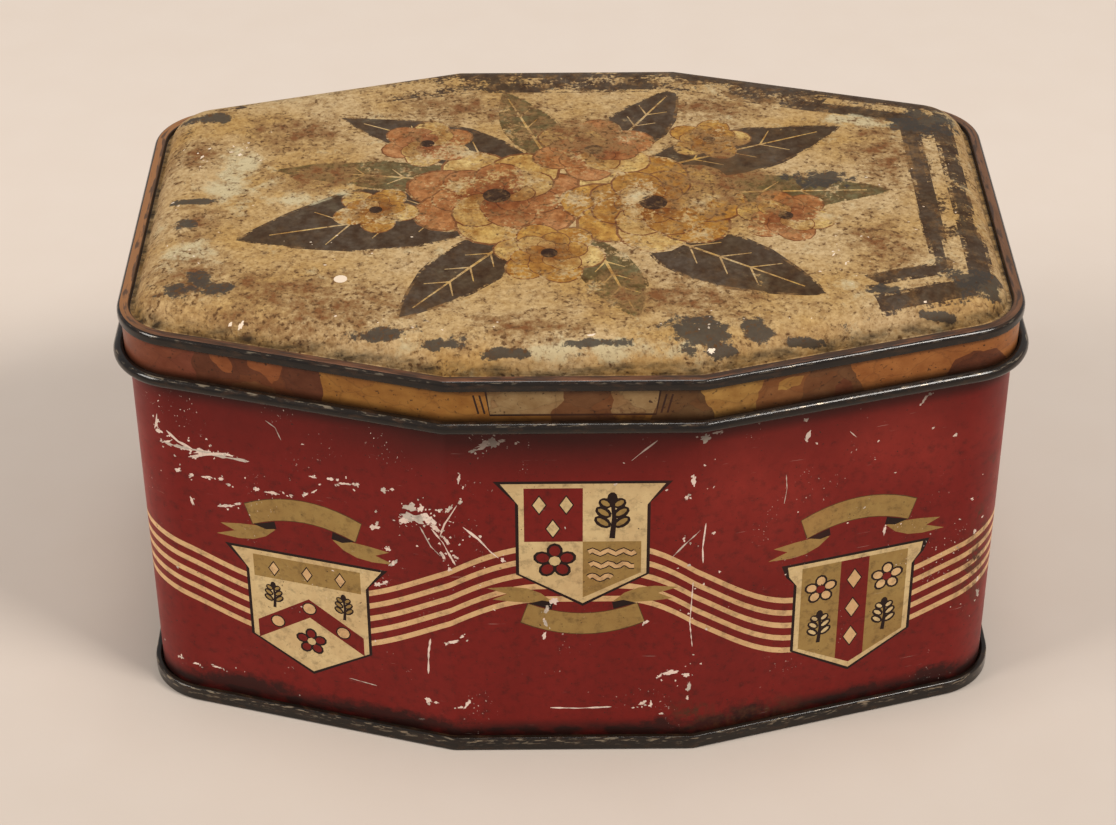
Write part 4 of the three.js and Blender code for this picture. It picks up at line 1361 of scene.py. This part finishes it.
def endArcs():  # the middle of each wide bend of the plan, the way that it faces and how far it opens
    run = Vector((plan["length"] - plan["frontFacet"], plan["depth"] - plan["endFacet"])) / 2
    arcs = []
    for x, y, radius, _ in planCorners():
        if radius == plan["endRadius"]:
            side = Vector((math.copysign(1, x), 0))
            slant = Vector((math.copysign(run.y, x), math.copysign(run.x, y))).normalized()
            setback = radius * math.tan(math.acos(side.dot(slant)) / 2)
            facing = (side + slant).normalized()
            centre = Vector((x - side.x * radius, y - math.copysign(setback, y)))
            arcs.append((centre, facing, facing.dot(side)))
    return arcs


sides, arcs = planSides(), endArcs()


def insetOf(place):  # how far outside the wall's plan a point of the lid lies, below 0 inside it
    inset = max(outward.dot(place - here) for here, outward in sides)
    for centre, facing, opening in arcs:
        out = place - centre
        if out.length and out.normalized().dot(facing) > opening:
            inset = out.length - plan["endRadius"]
    return inset


def tableHeight(table, inset):  # between the points of a profile, from the middle outwards
    if inset <= table[0].x:
        return table[0].y
    for here, after in zip(table, table[1:]):
        if inset <= after.x:
            return here.y + (after.y - here.y) * (inset - here.x) / (after.x - here.x)
    return table[-1].y


def spareLengths(profile):  # how much further the sheet runs than its plan, out to each point
    spare = [Vector((profile[0].x, 0.0))]
    for here, after in zip(profile, profile[1:]):
        spare.append(Vector((after.x, spare[-1].y + (after - here).length - (after.x - here.x))))
    return spare


def leafOutline(foot, tip, width):
    across = rightOf((tip - foot).normalized()) * width / 2
    ribs = [(foot.lerp(tip, share), full) for share, full in flower["leafFullness"]]
    right = [rib + across * full for rib, full in ribs]
    left = [rib - across * full * flower["leafSkew"] for rib, full in ribs]
    return [tuple(point) for point in right + left[-2::-1]]


def grownOutline(outline, reach):  # the outline pushed out from its middle
    middle = sum((Vector(point) for point in outline), Vector((0, 0))) / len(outline)
    return [tuple(Vector(point) + (Vector(point) - middle).normalized() * reach) for point in outline]


def leafShapes(ink, foot, tip, width):  # a leaf whose rim has broken into specks, with pale ribs
    foot, tip = Vector(foot), Vector(tip)
    outline = leafOutline(foot, tip, width)
    held = flower["leafHold"][ink]
    rims = ((grownOutline(outline, reach), held - lost) for reach, lost in flower["crumbs"])
    found = [shapeOf(ink, rim, held=share) for rim, share in (*rims, (outline, held))]
    rib = [tuple(foot.lerp(tip, share)) for share in flower["rib"]]
    found.append(shapeOf("paleYellow", ribbonOutline(rib, flower["ribWidths"]), held=flower["ribHeld"]))
    for share in flower["veins"]:
        start = foot.lerp(tip, share)
        for side in (-1, 1):
            away = turned((tip - foot).normalized(), side * flower["veinTurn"]) * width * flower["veinReach"]
            vein = ribbonOutline([tuple(start), tuple(start + away)], flower["veinWidths"])
            found.append(shapeOf("paleYellow", vein, held=flower["veinHeld"]))
    return found


def bloomShapes(ink, middle, radius, petals, turn):  # rings of round petals about a dark heart
    found = []
    edgeHeld, petalHeld = flower["petalHeld"]
    for ring, share in enumerate(flower["petalRings"]):
        across, up = (size * radius * share for size in flower["petalSize"])
        for petal in range(petals):
            angle = turn + ring * flower["ringTurn"] + 2 * math.pi * petal / petals
            out = flower["petalPlace"] * radius * share
            place = (middle[0] + out * math.cos(angle), middle[1] + out * math.sin(angle))
            grown = flower["petalEdge"]
            edge = ellipseOutline(place, across * grown, up * grown, angle)
            tone = ink if (ring + petal) % 3 else "paleYellow"
            found.append(shapeOf("petalShade", edge, held=edgeHeld))
            found.append(shapeOf(tone, ellipseOutline(place, across, up, angle), held=petalHeld))
    heart = radius * flower["heart"]
    outline = ellipseOutline(middle, heart, heart)
    return found + [shapeOf("charcoal", outline, held=flower["heartHeld"])]


def pictureShapes():
    dice = random.Random(picture["seed"])
    found = []
    for leaf in leaves:
        found += leafShapes(*leaf)
    for bloom in blooms:
        found += bloomShapes(*bloom, dice.uniform(0, math.pi))
    return found


def borderHold(place, lostAtEnd, lostAtBack):  # best at the right end and the back, and gone elsewhere
    endFrom, heldAtEnd = picture["holdEnd"]
    backFrom, heldAtBack = picture["holdBack"]
    fadeFrom, fadeRun, faded = picture["fadeLeft"]
    if place.x > endFrom:
        return heldAtEnd - lostAtEnd
    if place.y > backFrom:
        towardsLeft = min(max((fadeFrom - place.x) / fadeRun, 0.0), 1.0)
        return heldAtBack - lostAtBack - faded * towardsLeft
    return 0.0


def borderShapes():
    found = []
    for inner, outer, lostAtEnd, lostAtBack in picture["borderLines"]:
        pairs = [(out, into) for (out, _), (into, _) in zip(stations(outer), stations(inner))]
        for (outHere, inHere), (outAfter, inAfter) in zip(pairs, pairs[1:]):
            run = (outHere - outAfter).length
            if min(run, (inHere - inAfter).length) < nearly:
                continue
            steps = max(1, round(run / picture["borderStep"]))
            for step in range(steps):
                near, far = step / steps, (step + 1) / steps
                quad = [outHere.lerp(outAfter, near), outHere.lerp(outAfter, far),
                        inHere.lerp(inAfter, far), inHere.lerp(inAfter, near)]
                held = borderHold(sum(quad, Vector((0, 0))) / 4, lostAtEnd, lostAtBack)
                if held > picture["borderLeast"]:
                    found.append(shapeOf("charcoal", [tuple(point) for point in quad], held=held))
    return found


def lidChips():  # paint lost down to the primer
    dice = random.Random(picture["chipSeed"])
    *middle, radius = picture["dot"]
    found = [shapeOf("chip", ellipseOutline(middle, radius, radius), bare=1.0)]
    for spot in lidChipSpots:
        found.append(shapeOf("chip", chipOutline(spot, dice), bare=1.0))
    for middle, spread, count in lidSpeckFields:
        for _ in range(count):
            length = dice.uniform(*picture["speckLength"])
            place = (dice.gauss(middle[0], spread[0]), dice.gauss(middle[1], spread[1]))
            outline = flake(place, length, picture["slimness"], picture["slants"], dice)
            found.append(shapeOf("chip", outline, bare=dice.uniform(*picture["bare"])))
    return found


def printDome(draft, profile, count, shapes):  # as far as the profile's point of that count
    guides = []
    for point in profile[:count - 1]:
        ring = [tuple(place) for place, _ in stations(point.x)]
        guides += [(here, after) for here, after in zip(ring, ring[1:]) if math.dist(here, after) > nearly]
    edge = [tuple(place) for place, _ in stations(profile[count - 1].x)][:-1]
    spare = spareLengths(profile)
    step = lid["slopeStep"]

    def slope(point, alongX, alongY):
        ahead = insetOf(Vector((point.x + alongX, point.y + alongY)))
        behind = insetOf(Vector((point.x - alongX, point.y - alongY)))
        return (tableHeight(profile, ahead) - tableHeight(profile, behind)) / (2 * step)

    for triangle, (ink, bare, held) in cutSheet(edge, guides, shapes, (inks["lidCream"], 0.0, 0.0)):
        corners = []
        for point in triangle:
            uphill = Vector((slope(point, step, 0), slope(point, 0, step)))
            normal = Vector((-uphill.x, -uphill.y, 1)).normalized()
            inset = insetOf(point)
            place = Vector((*point, tableHeight(profile, inset)))
            flat = tuple(point - uphill.normalized() * tableHeight(spare, inset))
            corners.append((place, normal, flat, ink, (bare, held, inset)))
        draft.append((corners, 0))


def makeLid():
    ledgeInner = skirtInner - lid["ledgeWidth"]
    grooveInner = ledgeInner - lid["grooveWidth"]
    shoulderInner = grooveInner - lid["shoulderWidth"]
    plateau = grooveHeight + lid["domeRise"]
    quarter = math.pi / 2
    crown = []
    for inset in lid["crownInsets"]:
        climb = math.sin(quarter * (inset + shoulderInner) / (halfDepth + shoulderInner))
        crown.append(Vector((-inset, plateau + lid["crownRise"] * climb)))
    shoulder = []
    for step in range(lid["shoulderSteps"]):
        angle = quarter * (1 - step / lid["shoulderSteps"])
        out = shoulderInner + lid["shoulderWidth"] * math.cos(angle)
        shoulder.append(Vector((out, grooveHeight + lid["domeRise"] * math.sin(angle))))
    wideBend, tightBend = lid["grooveDepth"] / 2, lid["grooveDepth"] / 3
    edge = bentLine([
        tuple(shoulder[-1]), (grooveInner, grooveHeight, wideBend), (ledgeInner, grooveHeight, tightBend),
        (ledgeInner, ledgeHeight, tightBend), (rimMiddle, ledgeHeight, lid["rimBend"]),
        (rimMiddle, rimFoldBottom, tinplate["foldGap"]), (skirtOuter + tinplate["foldGap"], rimFoldBottom),
    ])
    line = crown + shoulder[:-1] + edge
    under, upper = sheetFaces(line)
    section = under + upper[::-1]
    profile = upper[:len(crown) + lid["shoulderSteps"]]
    printedCount = len(profile) - lid["printFoot"]
    draft = []

    def finishOf(middle, band):
        if band < len(line):
            return 3
        if middle.x > rimMiddle - lid["rimBend"] * 0.5:
            return 2
        return 1 if middle.x > ledgeInner - lid["grooveFinish"] else 0

    back, down, reach = lid["rimRidge"]
    ridges = [(rimMiddle + halfSheet - back, rimTop - down, reach)]
    kept = section[:len(section) - printedCount + 1]
    planSpare = spareLengths(profile)[printedCount - 1].y
    carryRound(draft, kept, finishOf, "lidCream", ridges, isPanel=True, planSpare=planSpare)
    closeMiddle(draft, under[0], -1, 3)
    printDome(draft, profile, printedCount, pictureShapes() + borderShapes() + lidChips())
    materials = [lidMaterial, ledgeMaterial, beadMaterial, insideMaterial]
    makePiece("pressed_lid", draft, materials, "lid", "lid_panel")


makeWall()
makeBase()
makeSkirt()
makeLid()


def flatStrip(name, width, offsets, heights, material, body):  # an upright strip at the back
    low = Vector((-width / 2, halfDepth + offsets[0], heights[0]))
    high = Vector((width / 2, halfDepth + offsets[1], heights[1]))
    strip = bmesh.new()
    size = high - low
    shape = Matrix.Translation((low + high) / 2 * millimetre) @ Matrix.Diagonal((*(size * millimetre), 1.0))
    bmesh.ops.create_cube(strip, size=1.0, matrix=shape)
    rounding = min(size) * tinplate["stripRounding"] * millimetre
    segments = tinplate["stripSegments"]
    bmesh.ops.bevel(strip, geom=strip.edges[:], offset=rounding, segments=segments, affect="EDGES")
    flat = strip.loops.layers.uv.new("flatSheet")
    for face in strip.faces:
        face.smooth = True
        for loop in face.loops:
            loop[flat].uv = (halfRound - loop.vert.co.x / millimetre, loop.vert.co.z / millimetre)
    mesh = bpy.data.meshes.new(name)
    strip.to_mesh(mesh)
    strip.free()
    ink = mesh.color_attributes.new("ink", "FLOAT_COLOR", "CORNER")
    for item in ink.data:
        item.color = inks["skirt"]
    mesh.materials.append(material)
    piece = bpy.data.objects.new(name, mesh)
    bpy.context.scene.collection.objects.link(piece)
    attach(piece, body)


underMouth = wall["mouthHeight"] - wall["curlDiameter"] - wall["sideSeamGap"]
flatStrip("lock_seam", wall["sideSeamWidth"], (-tinplate["sheet"] * wall["sideSeamLayers"], -halfSheet),
          (wall["seamHeight"] + base["stepRise"], underMouth),
          insideMaterial, "tin_body")
flatStrip("skirt_lap", lid["lapWidth"], (skirtMiddle, skirtOuter + tinplate["sheet"]),
          (lidBottom + lid["beadDiameter"] * lid["lapFoot"], rimFoldBottom - halfSheet - lid["lapGap"]),
          skirtMaterial, "lid")


# Matt backdrop paper: one pale sheet that fills the view, uneven in its fibres and darker towards the front
# as painted shade
floorLook = {
    # the front colour is painted shade, darker than the back, where the lamps' light falls off
    "size": 6.0, "front": "#b2a89f", "back": "#d2c5ba", "fade": (-0.34, 0.16), "fibres": "#fbf9f7",
    "roughness": 0.9, "specular": 0.2, "paper": {"Scale": 60.0, "Detail": 4.0},
}


def makeFloor():
    mesh = bpy.data.meshes.new("floor")
    half = floorLook["size"] / 2
    corners = [(-half, -half, 0), (half, -half, 0), (half, half, 0), (-half, half, 0)]
    mesh.from_pydata(corners, [], [(0, 1, 2, 3)])
    floor = bpy.data.objects.new("floor", mesh)
    material, add = newMaterial("matt backdrop paper")
    coords = add("TexCoord", {}).node.outputs["Object"]
    place = add("SeparateXYZ", {0: coords}).node.outputs
    # painted shade: the paper darkens from the back towards the front
    start, end = floorLook["fade"]
    masks = {
        "fade": add("MapRange", {"From Min": start, "From Max": end, "Value": place["Y"]}),
        "fibres": add("TexNoise", {**floorLook["paper"], "Vector": coords}),
    }
    layers = (("fade", floorLook["back"], "MIX"), ("fibres", floorLook["fibres"], "MULTIPLY"))
    colour = painted(add, linear(floorLook["front"]), layers, masks)
    look = {"Roughness": floorLook["roughness"], "Specular IOR Level": floorLook["specular"]}
    mesh.materials.append(surfaced(material, add, {**look, "Base Color": colour}))
    bpy.context.scene.collection.objects.link(floor)


makeFloor()

# Lights: a large soft box at the right, a weaker one at the left and a third above
studio = {
    "world": ("#ffffff", 0.41),
    "boxes": [
        ("left box", (-1.3, -0.5, 1.0), 0.6, 15.0, "#fffaf2"),
        ("right box", (1.15, -0.7, 1.6), 0.56, 27.0, "#fffaf2"),
        ("top box", (0.1, 0.1, 2.0), 0.6, 8.0, "#fffdfa"),
    ],
    "aim": (0.0, 0.0, 0.05),
}


def makeStudio():
    world = bpy.data.worlds.new("studio")
    world.use_nodes = True
    background = world.node_tree.nodes["Background"]
    background.inputs["Color"].default_value = linear(studio["world"][0])
    background.inputs["Strength"].default_value = studio["world"][1]
    bpy.context.scene.world = world
    for name, place, size, power, colour in studio["boxes"]:
        light = bpy.data.lights.new(name, "AREA")
        light.shape = "SQUARE"
        light.size = size
        light.energy = power
        light.color = linear(colour)[:3]
        lamp = bpy.data.objects.new(name, light)
        lamp.location = place
        lamp.rotation_euler = (Vector(studio["aim"]) - Vector(place)).to_track_quat("-Z", "Y").to_euler()
        bpy.context.scene.collection.objects.link(lamp)


makeStudio()

# Camera at the photograph's place: millimetres, degrees, and its focal length in the photograph's pixels
camera = {
    "place": (-4.6, -445.5, 348.7), "pitch": 34.78, "yaw": 0.286, "roll": 0.249,
    "focal": 2657.4, "imageWidth": 1116, "sensor": 36.0, "clip": (0.01, 20),
}


def makeCamera():
    data = bpy.data.cameras.new("camera")
    data.sensor_width = camera["sensor"]
    data.lens = camera["focal"] / camera["imageWidth"] * camera["sensor"]
    data.clip_start, data.clip_end = camera["clip"]
    pitch, yaw, roll = (math.radians(camera[name]) for name in ("pitch", "yaw", "roll"))
    ahead = Vector((math.sin(yaw) * math.cos(pitch), math.cos(yaw) * math.cos(pitch), -math.sin(pitch)))
    level = Vector((math.cos(yaw), -math.sin(yaw), 0))
    down = ahead.cross(level)
    right = level * math.cos(roll) + down * math.sin(roll)
    up = level * math.sin(roll) - down * math.cos(roll)
    turn = Matrix((right, up, -ahead)).transposed().to_4x4()
    viewer = bpy.data.objects.new("camera", data)
    viewer.matrix_world = Matrix.Translation(Vector(camera["place"]) * millimetre) @ turn
    bpy.context.scene.collection.objects.link(viewer)
    bpy.context.scene.camera = viewer


makeCamera()
bpy.context.scene.view_settings.view_transform = "Standard"

print("studio ready")
